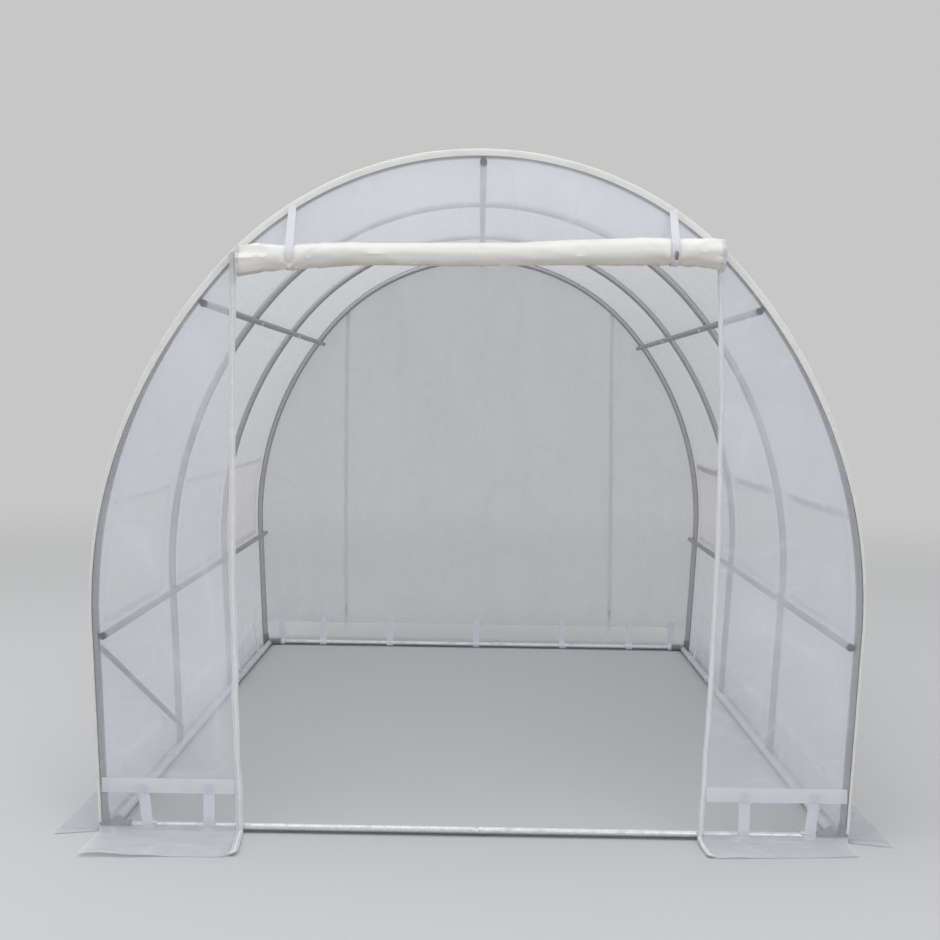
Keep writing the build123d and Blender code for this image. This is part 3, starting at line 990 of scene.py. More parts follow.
@dataclass(frozen=True)
class Shape:
    """Points, faces and cloth coordinates of a piece."""

    points: Array
    faces: list[list[int]]
    flat: Array

    @classmethod
    def grid(cls, points: Array, flat: Array, keep: Array | None = None) -> "Shape":
        """A sheet of one layer.

        Args:
            points: the grid's points, rows by columns by three.
            flat: their cloth coordinates.
            keep: which cells stay, or all of them.

        Returns:
            The shape, without points that no face uses.
        """
        cells = cls._cells(*points.shape[:2])
        faces = cells.reshape(-1, 4) if keep is None else cells[keep]
        used, faces = np.unique(faces, return_inverse=True)
        faces = faces.reshape(-1, 4)
        return cls(points.reshape(-1, 3)[used], faces.tolist(), flat.reshape(-1, 2)[used])

    @classmethod
    def between(cls, front: Array, back: Array, flat: Array) -> "Shape":
        """A closed flat piece between two grids.

        Args:
            front: points of its front, rows by columns by three.
            back: points of its back.
            flat: cloth coordinates of both.

        Returns:
            The shape.
        """
        rows, columns = front.shape[:2]
        index = cls._index(rows, columns)
        rim = np.concatenate([index[0, :-1], index[:-1, -1], index[-1, :0:-1], index[:0:-1, 0]])
        after, far = np.roll(rim, -1), rows * columns
        cells = cls._cells(rows, columns).reshape(-1, 4)
        sides = np.stack([rim, rim + far, after + far, after], -1)
        faces = np.concatenate([cells[:, ::-1], cells + far, sides])
        points = np.concatenate([front.reshape(-1, 3), back.reshape(-1, 3)])
        return cls(points, faces.tolist(), np.concatenate([flat.reshape(-1, 2)] * 2))

    @classmethod
    def sweep(cls, rings: Array) -> "Shape":
        """A closed body through rings of points.

        Args:
            rings: the rings, each of as many points, rows by columns by three.

        Returns:
            The shape, with a flat face at each end.
        """
        rows, columns = rings.shape[:2]
        index = cls._index(rows, columns)
        turned = np.roll(index, -1, 1)
        sides = np.stack([index[:-1], turned[:-1], turned[1:], index[1:]], -1).reshape(-1, 4)
        faces = [*sides.tolist(), index[0, ::-1].tolist(), index[-1].tolist()]
        around, along = np.meshgrid(np.arange(columns) / columns, np.arange(rows) / rows)
        return cls(rings.reshape(-1, 3), faces, np.stack([around, along], -1).reshape(-1, 2) * 0.02)

    @classmethod
    def joined(cls, shapes: Sequence["Shape"]) -> "Shape":
        """Several shapes as one.

        Args:
            shapes: the shapes, in order.

        Returns:
            One shape that holds them all.
        """
        starts = np.cumsum([0] + [len(shape.points) for shape in shapes])
        placed = zip(starts, shapes)
        faces = [[int(i + start) for i in face] for start, shape in placed for face in shape.faces]
        points = np.concatenate([shape.points for shape in shapes])
        return cls(points, faces, np.concatenate([shape.flat for shape in shapes]))

    @staticmethod
    def _index(rows: int, columns: int) -> Array:
        """Point numbers of a grid."""
        return np.arange(rows * columns).reshape(rows, columns)

    @classmethod
    def _cells(cls, rows: int, columns: int) -> Array:
        """Point numbers of each cell of a grid."""
        index = cls._index(rows, columns)
        return np.stack([index[:-1, :-1], index[1:, :-1], index[1:, 1:], index[:-1, 1:]], -1)

    def piece(self, name: str) -> bpy.types.Object:
        """The shape as a smooth object with sharp edges kept.

        Args:
            name: the object's name.

        Returns:
            The new object, linked to the scene.
        """
        mesh = bpy.data.meshes.new(name)
        mesh.from_pydata(self.points.tolist(), [], self.faces)
        corners = np.zeros(len(mesh.loops), np.int32)
        mesh.loops.foreach_get("vertex_index", corners)
        layer = mesh.uv_layers.new(name="metres")
        layer.data.foreach_set("uv", self.flat[corners].astype(np.float32).ravel())
        build = bmesh.new()
        build.from_mesh(mesh)
        bmesh.ops.recalc_face_normals(build, faces=build.faces)
        build.to_mesh(mesh)
        build.free()
        mesh.shade_smooth()
        mesh.set_sharp_from_angle(angle=SHARP_ANGLE)
        piece = bpy.data.objects.new(name, mesh)
        bpy.context.scene.collection.objects.link(piece)
        return piece


@dataclass
class SubAssembly:
    """A group of pieces that are made and dressed together."""

    made: list[tuple[bpy.types.Object, Finish]] = field(default_factory=list, init=False, repr=False)

    def add(self, name: str, shape: Shape, finish: Finish) -> bpy.types.Object:
        """Makes a piece that rides on the tunnel.

        Args:
            name: the piece's name.
            shape: its points and faces.
            finish: the finish that it gets when the sub-assembly is dressed.

        Returns:
            The new object.
        """
        piece = shape.piece(name)
        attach(piece, "root")
        self.made.append((piece, finish))
        return piece

    def build(self) -> None:
        """Makes the pieces."""
        raise NotImplementedError

    def dress(self) -> None:
        """Gives each piece its finish and reports it."""
        for piece, finish in self.made:
            piece.data.materials.append(material_of(finish))
            log.info("%s: %d faces, %s", piece.name, len(piece.data.polygons), finish.name)


def strap(line: BentLine, size: Sequence[float], plane: Sequence[Array], slant: float = 0.0) -> Shape:
    """A flat strap that follows a line.

    Args:
        line: the strap's line, seen from its edge.
        size: width of the strap, and thickness in its middle.
        plane: origin of the line's plane, its right and up directions, and the one across it.
        slant: drift across that plane for each metre of strap.

    Returns:
        The strap's shape.
    """
    (width, thickness), (origin, right, up, beside) = size, plane
    ends = np.cumsum([0.0] + [length for length, _ in line.runs])
    along = stops(0.004, *ends)[:, None]
    across = np.linspace(-0.5, 0.5, 7)[None, :]
    (point, normal), columns = line.at(along[:, 0]), across.shape[1]
    half = thickness * (0.5 - 0.3 * (2 * np.abs(across)) ** 6)
    shift = across * width + slant * along
    sides = []
    for sign in (1, -1):
        a, b = (point[:, None, axis] + sign * half * normal[:, None, axis] for axis in (0, 1))
        sides.append(origin + a[..., None] * right + b[..., None] * up + shift[..., None] * beside)
    flat = np.stack([np.broadcast_to(across * width, shift.shape), np.repeat(along, columns, 1)], -1)
    return Shape.between(sides[0], sides[1], flat)


@dataclass(frozen=True)
class RolledSheet:
    """A sheet rolled up outward under the edge that it hangs from, and drawn in by ties at its waists.

    The core is the radius of the innermost turn. The length is in the roll, and the hang is above it.
    """

    radius: float
    core: float
    length: float
    hang: float
    waists: tuple[float, ...]
    seed: int
    turn_step: float = 0.24

    def girth(self, across: Number) -> Array:
        """Radius along the roll, as a share of the full one."""
        drawn = sum(bell(across - waist, 0.030) for waist in self.waists)
        return 1 - 0.075 * drawn + 0.035 * Unevenness(self.seed)(across * 5.0, 3.5)

    def grid(
        self, across: Array, centre: Array, out: Array, up: Array, ends: Number = 1.0,
        bunched: Callable[[Array, Array], Array] | None = None,
    ) -> tuple[Array, Array, Array]:
        """The rolled sheet's points.

        Args:
            across: stops along the roll.
            centre: the roll's axis at each stop.
            out: direction away from the film that it hangs on.
            up: direction up that film.
            ends: radius at each stop, as a share.
            bunched: added radius for a place along the roll and an angle round it.

        Returns:
            Points, cloth coordinates and the direction off the sheet's outer face at each point.
        """
        turns = 2 * self.length / (self.radius + self.core)
        pitch = (self.radius - self.core) / turns
        angle = stops(self.turn_step, 0.0, turns)[:, None]
        uneven, folds = Unevenness(self.seed), Unevenness(self.seed + 1)
        wide = across[None, :]
        radius = (self.radius - pitch * angle) * self.girth(wide) * ends
        lumps = uneven(wide * 3.0 + 0.8 * np.cos(angle), 9 + 0.8 * np.sin(angle) + 0.02 * angle)
        creases = folds.folds(wide * 9.0 + 0.55 * angle, 4 + wide * 1.5, 4.0) * np.exp(-angle / 9)
        radius = radius * (1 + 0.05 * lumps) + 0.0022 * (creases - 0.35)
        if bunched is not None:
            radius = radius + bunched(wide, angle) * radius / radius[:1]
        drop = np.linspace(self.hang, 0.0, 10)[:-1, None]
        back = -radius[:1] - 0.06 * drop
        a = np.concatenate([back + 0 * drop, -radius * np.cos(angle)])
        b = np.concatenate([drop + 0 * wide, -radius * np.sin(angle)])
        near_end = eased((np.abs(wide - wide.mean()) / np.ptp(across) - 0.42) / 0.06)
        slide = 0.004 * uneven(3.0 + 0 * wide, np.concatenate([0 * drop, angle]) * 0.45) * near_end
        side = np.cross(up, out)
        points = centre[None] + a[..., None] * out + b[..., None] * up + slide[..., None] * side
        down = np.concatenate([-drop, self.radius * angle - pitch * angle**2 / 2])
        flat = np.stack([np.broadcast_to(wide, a.shape), np.broadcast_to(down, a.shape)], -1)
        around = np.concatenate([0 * drop + 0 * wide, angle + 0 * wide])[..., None]
        return points, flat, -np.cos(around) * out - np.sin(around) * up


RAILS = (
    "ridge_rail", "shoulder_rail_left", "shoulder_rail_right", "waist_rail_left", "waist_rail_right",
)
BASE_TUBES = ("base_tube_front", "base_tube_rear")
BASE_RAILS = ("base_rail_left", "base_rail_right")


@dataclass
class SteelFrame(SubAssembly):
    """Hoops, rails and ground frame, with their bolts and tube joints.

    A washer has a radius and a thickness.
    """

    bolt_width: float = 0.010
    bolt_height: float = 0.0042
    washer: tuple[float, float] = (0.0075, 0.0012)
    sleeve: float = 0.022
    sleeve_rise: float = 0.0006
    joint_gap: float = 0.0016
    joint_shift: float = 0.012

    def _lathe(self, origin: Array, axis: Array, profile: Sequence[tuple[float, float]], sides: int) -> Shape:
        """A turned body.

        Args:
            origin: point on its axis.
            axis: unit direction.
            profile: radius and place along the axis of each ring.
            sides: number of flats or facets.

        Returns:
            The body's shape.
        """
        first = np.cross(axis, ALONG if abs(axis[1]) < 0.9 else ACROSS)
        first /= np.linalg.norm(first)
        second = np.cross(axis, first)
        angle = np.linspace(0, 2 * math.pi, sides, endpoint=False)
        around = np.cos(angle)[:, None] * first + np.sin(angle)[:, None] * second
        return Shape.sweep(np.array([origin + place * axis + radius * around for radius, place in profile]))

    def _bolt(self, rail: str, hoop: float) -> list[Shape]:
        """Washer and bolt head under a rail where it crosses a hoop.

        Args:
            rail: the rail's node.
            hoop: the hoop's place along the tunnel.

        Returns:
            Their shapes.
        """
        low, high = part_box(rail)
        axis_point = np.array([(low.x + high.x) / 2, hoop, (low.z + high.z) / 2])
        steep = math.atan2(abs(axis_point[0]), axis_point[2] - LINE.crown_height) > LINE.crown_turn
        side = math.copysign(1.0, axis_point[0])
        centre = LINE.side_centre * [side, 1] if steep else np.array([0.0, LINE.crown_height])
        inward = np.array([centre[0] - axis_point[0], 0.0, centre[1] - axis_point[2]])
        inward /= np.linalg.norm(inward)
        seat = axis_point + inward * ((high.z - low.z) / 2 - 0.0006)
        radius, thick = self.washer
        corner = self.bolt_width / math.sqrt(3)
        top = thick + self.bolt_height
        washer = [(radius, 0.0), (radius, thick * 0.7), (radius - 0.0004, thick)]
        head = [(corner, thick), (corner, top - 0.0009), (corner * 0.82, top)]
        return [self._lathe(seat, inward, washer, 20), self._lathe(seat, inward, head, 6)]

    def _joint(self, place: Array, axis: Array) -> list[Shape]:
        """Both raised ends of a joint in a ground tube.

        Args:
            place: middle of the joint.
            axis: direction of the tube.

        Returns:
            The two sleeves.
        """
        rim, full = TUBE + 0.0001, TUBE + self.sleeve_rise
        start, end = self.joint_gap / 2, self.joint_gap / 2 + self.sleeve
        profile = [(rim, start), (full, start + 0.0008), (full, end - 0.002), (rim, end)]
        return [self._lathe(place, axis * sign, profile, 32) for sign in (1, -1)]

    def build(self) -> None:
        """Makes the bolts and joints."""
        bolts = [shape for rail in RAILS for hoop in HOOP_PLACES[1:-1] for shape in self._bolt(rail, hoop)]
        self.add("crossing_bolts", Shape.joined(bolts), BRIGHT_STEEL)
        joints = []
        for node in BASE_TUBES:
            joints += self._joint(np.array(middle(node)) + self.joint_shift * ACROSS, ACROSS)
        for node in BASE_RAILS:
            for place in (-BAY / 2, BAY / 2):
                joints += self._joint(np.array(middle(node)) + place * ALONG, ALONG)
        self.add("tube_joints", Shape.joined(joints), LIT_GROUND_STEEL)

    def dress(self) -> None:
        """Gives the frame's own nodes and the new pieces their finish."""
        super().dress()
        caps = ("rail_end_caps_front", "rail_end_caps_rear")
        feet = ("corner_connectors_front", "corner_connectors_rear", "hoop_foot_plugs")
        groups = (
            ((HOOPS[0], *RAILS, "corner_brace"), STEEL), (HOOPS[1:], LIT_INNER_STEEL),
            (BASE_TUBES + BASE_RAILS, LIT_GROUND_STEEL), (caps, BLACK_PLASTIC), (feet, CONNECTOR_PLASTIC),
        )
        for names, finish in groups:
            for name in names:
                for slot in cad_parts[name].material_slots:
                    slot.material = material_of(finish)
                log.info("%s: %s", name, finish.name)


@dataclass(frozen=True)
class Window:
    """A window's opening: its limits down the cover and along the tunnel, and the number of its bay."""

    head: float
    sill: float
    start: float
    end: float
    bay: int

    def grid(self, seam: float, down: float, along: float) -> tuple[Array, Array]:
        """Coordinates over the opening and its seam.

        Args:
            seam: width of the seam.
            down: largest step down the cover.
            along: largest step along the tunnel.

        Returns:
            First and second coordinates.
        """
        u = stops(down, self.head - seam, self.sill + seam)[:, None]
        v = stops(along, self.start - seam, self.end + seam)[None, :]
        return np.broadcast_arrays(u, v)


@dataclass
class Cover(SubAssembly):
    """Film over the hoops, with its windows cut out, its hems and its flaps on the ground.

    A seam runs round each window. Lifts and gaps are measured off the film or the roll beneath.
    """

    step: float = 0.017
    seam: float = 0.016
    binding: float = 0.0165
    binding_lift: float = 0.0014
    binding_back: float = 0.0003
    crease_step: float = 0.007
    hem_bulge: float = 0.0012
    net_slope: float = 0.08
    border_lift: float = 0.0011
    roll_core: float = 0.004
    roll_hang: float = 0.018
    roll_gap: float = 0.004
    tie_width: float = 0.020
    tie_thickness: float = 0.0012
    tie_gap: float = 0.0022
    tie_start: tuple[float, float] = (0.0005, 0.030)
    tie_turn: float = math.radians(330)
    tie_tail: float = 0.004
    windows: list[Window] = field(init=False)

    def __post_init__(self) -> None:
        """Sets out the windows, which are alike in every bay."""
        low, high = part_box("window_nets_right")
        head, sill = (COVER.stop_at_height(z) for z in (high.z - self.seam, low.z + self.seam))
        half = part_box("window_rolls_right")[1].y - (HOOP_PLACES[-1] - BAY / 2)
        middles = [hoop + BAY / 2 for hoop in HOOP_PLACES[:-1]]
        self.windows = [Window(head, sill, y - half, y + half, bay) for bay, y in enumerate(middles)]

    def _film(self) -> None:
        windows = self.windows
        head, sill = windows[0].head, windows[0].sill
        beside_mark = (-self.crease_step, 0.0, self.crease_step)
        marks = [0.0, head, sill, COVER.fold, COVER.line.length]
        marks += [COVER.fold + COVER.fold_length * share for share in (0.25, 0.5, 0.75, 1.0)]
        marks += [place + shift for place in COVER.creases_across for shift in beside_mark]
        half = stops(self.step, *marks)
        u = np.concatenate([-half[:0:-1], half])[:, None]
        marks = [-END_FACE, END_FACE, *(place for window in windows for place in (window.start, window.end))]
        lines = (*HOOP_PLACES[1:-1], *COVER.creases_along)
        marks += [place + shift for place in lines for shift in beside_mark]
        v = stops(self.step, *marks)[None, :]
        between_u, between_v = (u[1:] + u[:-1]) / 2, (v[:, 1:] + v[:, :-1]) / 2
        beside = (np.abs(between_u) > head) & (np.abs(between_u) < sill)
        inside = np.any([(between_v > window.start) & (between_v < window.end) for window in windows], axis=0)
        u, v = np.broadcast_arrays(u, v)
        shape = Shape.grid(COVER.place(u, v), np.stack([u, v], -1), ~(beside & inside))
        film = self.add("cover_film", shape, COVER_FILM)
        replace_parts(film, "cover_roof", "cover_wall_right", "cover_wall_left", "skirts_side")
        width, length = 2 * COVER.line.length, 2 * END_FACE * COVER.flare
        opening = (sill - head) * sum(window.end - window.start for window in windows)
        area = width * 2 * END_FACE - 2 * opening

    def _binding(self, end: End) -> None:
        """Makes the binding that folds round the film's edge at an end hoop.

        Args:
            end: which end it is.
        """
        limit = COVER.fold - 0.01
        s = stops(0.012, -limit, 0.0, limit)[:, None]
        side = np.where(s < 0, -1.0, 1.0)
        point, normal = COVER.line.at(np.abs(s))
        inward_steps = (-self.binding, -self.binding * 0.5, -0.001, 0.0, 0.0, 0.0)
        section = list(zip(inward_steps, (0.0, 0.0, 0.0, 0.001, self.binding * 0.5, self.binding)))
        inward, back = np.array(section).T[:, None]
        uneven = Unevenness(50 + end.value)
        narrow = 1 - 0.62 * eased((np.abs(s) - 0.8) / 0.8)
        faces = []
        for skin in (self.binding_lift, self.binding_back):
            puff = skin * (1 + 0.35 * uneven(s * 30, inward * 200 + back * 300))
            top = puff if skin == self.binding_lift else 0 * puff + skin
            rise = np.where(inward < 0, inward * narrow, top)
            away = np.where(back > 0, -back + 0 * puff, puff)
            across = side * (point[..., 0] + rise * normal[..., 0])
            height = point[..., 1] + rise * normal[..., 1]
            faces.append(np.stack([across, end.value * (END_FACE + away), height], -1))
        lengths = np.cumsum([0.0] + [math.dist(a, b) for a, b in zip(section, section[1:])])
        flat = np.stack(np.broadcast_arrays(lengths[None, :], s), -1)
        self.add(f"edge_binding_{end.name.lower()}", Shape.between(faces[0], faces[1], flat), BINDING)

    def _hem(self, side: Side) -> None:
        """Makes the doubled band along a wall, above the ground frame.

        Args:
            side: the wall.
        """
        low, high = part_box("hem_bands")
        u = side.value * np.linspace(COVER.stop_at_height(high.z), COVER.stop_at_height(low.z), 7)[:, None]
        v = stops(0.016, -END_FACE + 0.012, END_FACE - 0.012)[None, :]
        bulge = self.hem_bulge * (1 + np.sin(np.linspace(0, math.pi, 7))[:, None])
        shape = COVER.skin(u, v, bulge * (1 + 0.5 * Unevenness(61)(v * 14, side.value)))
        self.add(f"side_hem_{side.name.lower()}", shape, DOUBLE_FILM)

    def _net(self, side: Side, window: Window) -> bpy.types.Object:
        """Args:
            side: the wall.
            window: the window.

        Returns:
            The net.
        """
        u, v = window.grid(self.seam, 0.014, 0.018)
        inner = eased(np.minimum(u - window.head, window.sill - u) / self.net_slope)
        inner = inner * eased(np.minimum(v - window.start, window.end - v) / self.net_slope)
        slack = 0.002 + 0.004 * inner * (0.6 + Unevenness(70 + window.bay).rough(u * 5, v * 5 + side.value))
        shape = Shape.grid(COVER.place(side.value * u, v, -slack), np.stack([v, u], -1))
        net = self.add(f"window_net_{side.name.lower()}_{window.bay + 1}", shape, NET)
        return net

    def _border(self, window: Window) -> None:
        """Makes the welded frame round an open window of the right wall.

        Args:
            window: the window.
        """
        head, sill, start, end = window.head, window.sill, window.start, window.end
        inner = np.array([(head, start), (head, end), (sill, end), (sill, start)])
        outer = inner + self.seam * np.array([(-1, -1), (-1, 1), (1, 1), (1, -1)])
        depth = np.linspace(0, 1, 4)[None, :, None]
        strips = []
        for first in range(4):
            second = (first + 1) % 4
            share = stops(0.016 / math.dist(inner[first], inner[second]), 0.0, 1.0)[:, None, None]
            near, far = (edge[first] * (1 - share) + edge[second] * share for edge in (inner, outer))
            both = near * (1 - depth) + far * depth
            strips.append(COVER.skin(both[..., 0], both[..., 1], self.border_lift))
        self.add(f"window_border_right_{window.bay + 1}", Shape.joined(strips), BORDER_FILM)

    def build(self) -> None:
        """Makes the cover, and the nets and borders of its windows."""
        self._film()
        for end in End:
            self._binding(end)
        for side in Side:
            self._hem(side)
            nets = [self._net(side, window) for window in self.windows]
            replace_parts(nets[0], f"window_nets_{side.name.lower()}")
        for window in self.windows:
            self._border(window)
        self._closed_flaps()
        self._rolled_flaps()

    def _closed_flaps(self) -> None:
        """Makes the flaps that close the left-hand windows."""
        flaps = []
        for window in self.windows:
            u, v = window.grid(self.seam, 0.012, 0.016)
            loose = eased((u - window.head) / 0.3)
            loose = loose * (0.5 + Unevenness(80 + window.bay).rough(u * 6, v * 4))
            lift = 0.0016 + 0.006 * np.maximum(loose, 0.0)
            flap = self.add(f"window_flap_{window.bay + 1}", COVER.skin(-u, v, lift), FLAP_FILM)
            flaps.append(flap)
        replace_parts(flaps[0], "window_flaps_left")

    def _rolled_flaps(self) -> None:
        """Makes the right-hand flaps, rolled up over their windows, and their ties."""
        low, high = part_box("window_rolls_right")
        radius = (high.z - low.z) / 2
        tie_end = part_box("window_ties_right")[1].y
        tie_place = tie_end - self.tie_width / 2 - (HOOP_PLACES[-1] - BAY / 2)
        waists = (-tie_place, tie_place)
        rolls, ties = [], []
        for window in self.windows:
            head, centre = window.head, (window.start + window.end) / 2
            length = window.sill - head + self.seam
            sheet = RolledSheet(radius, self.roll_core, length, self.roll_hang, waists, 90 + window.bay)
            across = stops(0.014, window.start, window.end)
            out = COVER.place(head, centre, 0.01) - COVER.place(head, centre, 0.0)
            out /= np.linalg.norm(out)
            up = np.cross(ALONG, out)
            up *= math.copysign(1.0, up[2])
            base = COVER.place(head, across, radius + self.roll_gap)
            points, flat, _ = sheet.grid(across - centre, base, out, up)
            roll = self.add(f"window_roll_{window.bay + 1}", Shape.grid(points, flat), LIT_WINDOW_ROLL)
            size = (window.end - window.start, sheet.length + sheet.hang)
            rolls.append(roll)
            for place in waists:
                girth = radius * float(sheet.girth(place)) + self.tie_gap
                start = (-girth + self.tie_start[0], self.tie_start[1])
                line = wrapped_line(start, (0.0, 0.0), girth, self.tie_turn, self.tie_tail)
                origin = COVER.place(head, centre + place, radius + self.roll_gap)
                ties.append(strap(line, (self.tie_width, self.tie_thickness), (origin, out, up, ALONG)))
        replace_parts(rolls[0], "window_rolls_right")
        band = self.add("window_ties", Shape.joined(ties), WEBBING)
        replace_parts(band, "window_ties_right")


@dataclass
class TunnelEnd(SubAssembly):
    """What both ends share: hems, zips and the shape of their film.

    Faces are the heights of a band's back and front over the film. A slider and its tab have a length and a
    width. The corner is the radius of a ground flap's inner corner.
    """

    end: End
    zip_width: float = 0.021
    coil_width: float = 0.0065
    tooth: float = 0.004
    corner: float = 0.032
    step: float = 0.014
    tape_faces: tuple[float, float] = (0.0004, 0.0014)
    teeth_faces: tuple[float, float] = (0.0012, 0.0018)
    ruffle: float = 0.0016
    waver: float = 0.0022
    slider: tuple[float, float] = (0.013, 0.0095)
    tab: tuple[float, float] = (0.034, 0.0055)
    hem_rows: tuple[float, float] = (0.104, 0.142)
    hem_height: float = 0.12
    hem_margin: float = 0.011
    surface: EndSurface = field(init=False)

    def __post_init__(self) -> None:
        """Sets out the end's surface."""
        self.surface = EndSurface(self.end)

    def zip_place(self, side: Side, v: Number) -> Array:
        """How far a zip is from the middle of the tunnel."""
        raise NotImplementedError

    def tape_width(self, side: Side) -> float:
        """Width of a zip's tape as it shows."""
        return self.zip_width

    def declare(self, film: bpy.types.Object, u: Array, v: Array, *rests_on: str) -> None:
        """Works out stretched film's size and area from its grid, and leaves them unused.

        Args:
            film: the film's piece; not used.
            u: first coordinates of its grid.
            v: second coordinates of its grid.
            *rests_on: nodes that it is stretched over; not used.
        """
        rows, widths = v[:, 0], u[:, -1] - u[:, 0]
        area = float(np.sum((rows[1:] - rows[:-1]) * (widths[1:] + widths[:-1]) / 2))
        size = (float(widths.max()), float(rows[-1] - rows[0]))

    def zip_top(self, side: Side) -> float:
        """Height where a zip meets the hoop.

        Args:
            side: side of the door.

        Returns:
            The height.
        """
        heights = np.linspace(1.3, 1.7, 800)
        room = self.surface.reach(heights) - self.zip_place(side, heights) - self.zip_width * 0.3
        return float(heights[room > 0][-1])

    def rows(self, top: float, *marks: float) -> Array:
        """Stops from the flap's tip to a height, close together in the fold.

        Args:
            top: the height.
            *marks: places that need a stop.

        Returns:
            The stops.
        """
        surface = self.surface
        fold = [surface.fold - surface.fold_length * share for share in (0.0, 0.25, 0.5, 0.75, 1.0)]
        return stops(self.step, surface.tip, *fold, *self.hem_rows, *marks, top)

    def flap_v(self, side: Side, u: Array, v: Array) -> Array:
        """Second coordinate of a point, where the flap is longer or shorter than the surface's own."""
        return v

    def zip_line(self, side: Side) -> Array:
        """Middle line of a zip, from its top: places across and second coordinates."""
        v = np.arange(self.zip_top(side), self.surface.fold + 0.02, -0.002)
        return np.stack([self.zip_place(side, v), v], -1)

    def _along_zip(self, side: Side, across: Array, step: float, trim: float) -> tuple[Array, Array, Array]:
        """Grid along a zip.

        Args:
            side: side of the door.
            across: places across the tape.
            step: distance between rows.
            trim: length left out at both ends.

        Returns:
            First and second coordinates, and the distance along the zip of each row.
        """
        line = self.zip_line(side)
        passed = np.append(0.0, np.cumsum(np.linalg.norm(np.diff(line, axis=0), axis=1)))
        run = stops(step, trim, passed[-1] - trim)
        points = np.stack([np.interp(run, passed, line[:, axis]) for axis in (0, 1)], -1)
        course = np.gradient(points, run, axis=0)
        course /= np.linalg.norm(course, axis=1, keepdims=True)
        u = points[:, :1] - course[:, 1:] * across
        v = points[:, 1:] + course[:, :1] * across
        return side.value * u, self.flap_v(side, u, v), run[:, None]

    def _zip(self, side: Side) -> None:
        """Makes a zip's tape and its teeth.

        Args:
            side: side of the door.
        """
        surface, name = self.surface, f"{self.end.name.lower()}_zip_{side.name.lower()}"
        wavy = Unevenness(100 + 2 * self.end.value + side.value)
        across = np.linspace(-0.5, 0.5, 7)[None, :]
        width = self.tape_width(side)
        finishes = (REAR_ZIP_TAPE, REAR_ZIP_TAPE) if self.end is End.REAR else (ZIP_TAPE, ZIP_TEETH)
        u, v, run = self._along_zip(side, across * width, 0.008, 0.0)
        ruffle = self.ruffle * (1 + wavy(run * 22, across * 2 + 5))
        u = u + self.waver * wavy(run * 13, 20.5)
        low, high = self.tape_faces
        tape = self.add(name, surface.laid(u, v, low + ruffle, high + ruffle), finishes[0])
        across = np.linspace(-0.5, 0.5, 5)[None, :]
        u, v, run = self._along_zip(side, across * self.coil_width, self.tooth / 4, 0.004)
        ruffle = self.ruffle * (1 + wavy(run * 22, across * 2 * self.coil_width / width + 5))
        u = u + self.waver * wavy(run * 13, 20.5)
        ridge = 0.0010 * (1 + np.cos(2 * math.pi * (run / self.tooth + 0.5 * (across > 0))))
        crown = 0.0014 * np.cos(math.pi * across) + ridge * np.cos(math.pi * across * 0.8)
        low, high = self.teeth_faces
        teeth = surface.laid(u, v, low + ruffle, high + ruffle + crown)
        self.add(name + "_teeth", teeth, finishes[1])
        if side is Side.LEFT:
            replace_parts(tape, f"{self.end.name.lower()}_zips")

    def _slider(self, side: Side, v: float) -> list[Shape]:
        """Slider and pull tab of a zip.

        Args:
            side: side of the door.
            v: height of the slider.

        Returns:
            The slider's body and its tab.
        """
        surface = self.surface
        place = side.value * float(self.zip_place(side, v))
        length, width = self.slider
        s = np.linspace(-0.5, 0.5, 9)[:, None]
        t = np.linspace(-0.5, 0.5, 7)[None, :]
        waist = width * (1 - 0.28 * np.abs(2 * s) ** 2)
        dome = 0.0062 * (1 - np.abs(2 * s) ** 4) ** 0.5 * (1 - np.abs(2 * t) ** 4) ** 0.5
        body = surface.laid(place + t * waist, v + s * length, 0.001, 0.0022 + dome)
        s = np.linspace(0.0, 1.0, 12)[:, None]
        t = np.linspace(-0.5, 0.5, 5)[None, :]
        length, width = self.tab
        narrow = width * (0.7 + 0.3 * eased(s / 0.3)) * (1 - 0.6 * eased((s - 0.9) / 0.1))
        hang = 0.0080 - 0.0035 * s
        tab = surface.laid(place + t * narrow + 0.002 * s, v + 0.002 - length * s, hang, hang + 0.0014)
        return [body, tab]

    def _hem(self, name: str, left: float, right: float) -> bpy.types.Object:
        """Makes a doubled band above the ground tube.

        Args:
            name: the piece's name.
            left: its end on the left.
            right: its end on the right.

        Returns:
            The band.
        """
        low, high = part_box("hem_bands")
        v = np.linspace(low.z, high.z, 7)[:, None]
        u = stops(0.014, left, right)[None, :]
        bulge = 0.0012 + 0.0013 * np.sin(np.linspace(0, math.pi, 7))[:, None]
        puff = bulge * (1 + 0.5 * Unevenness(63)(u * 14, self.end.value))
        if self.end is End.FRONT:
            return self.add(name, self.surface.laid(u, v, 0.0004, puff), HEM_FILM)
        return self.add(name, self.surface.skin(u, v, puff), DOUBLE_FILM)


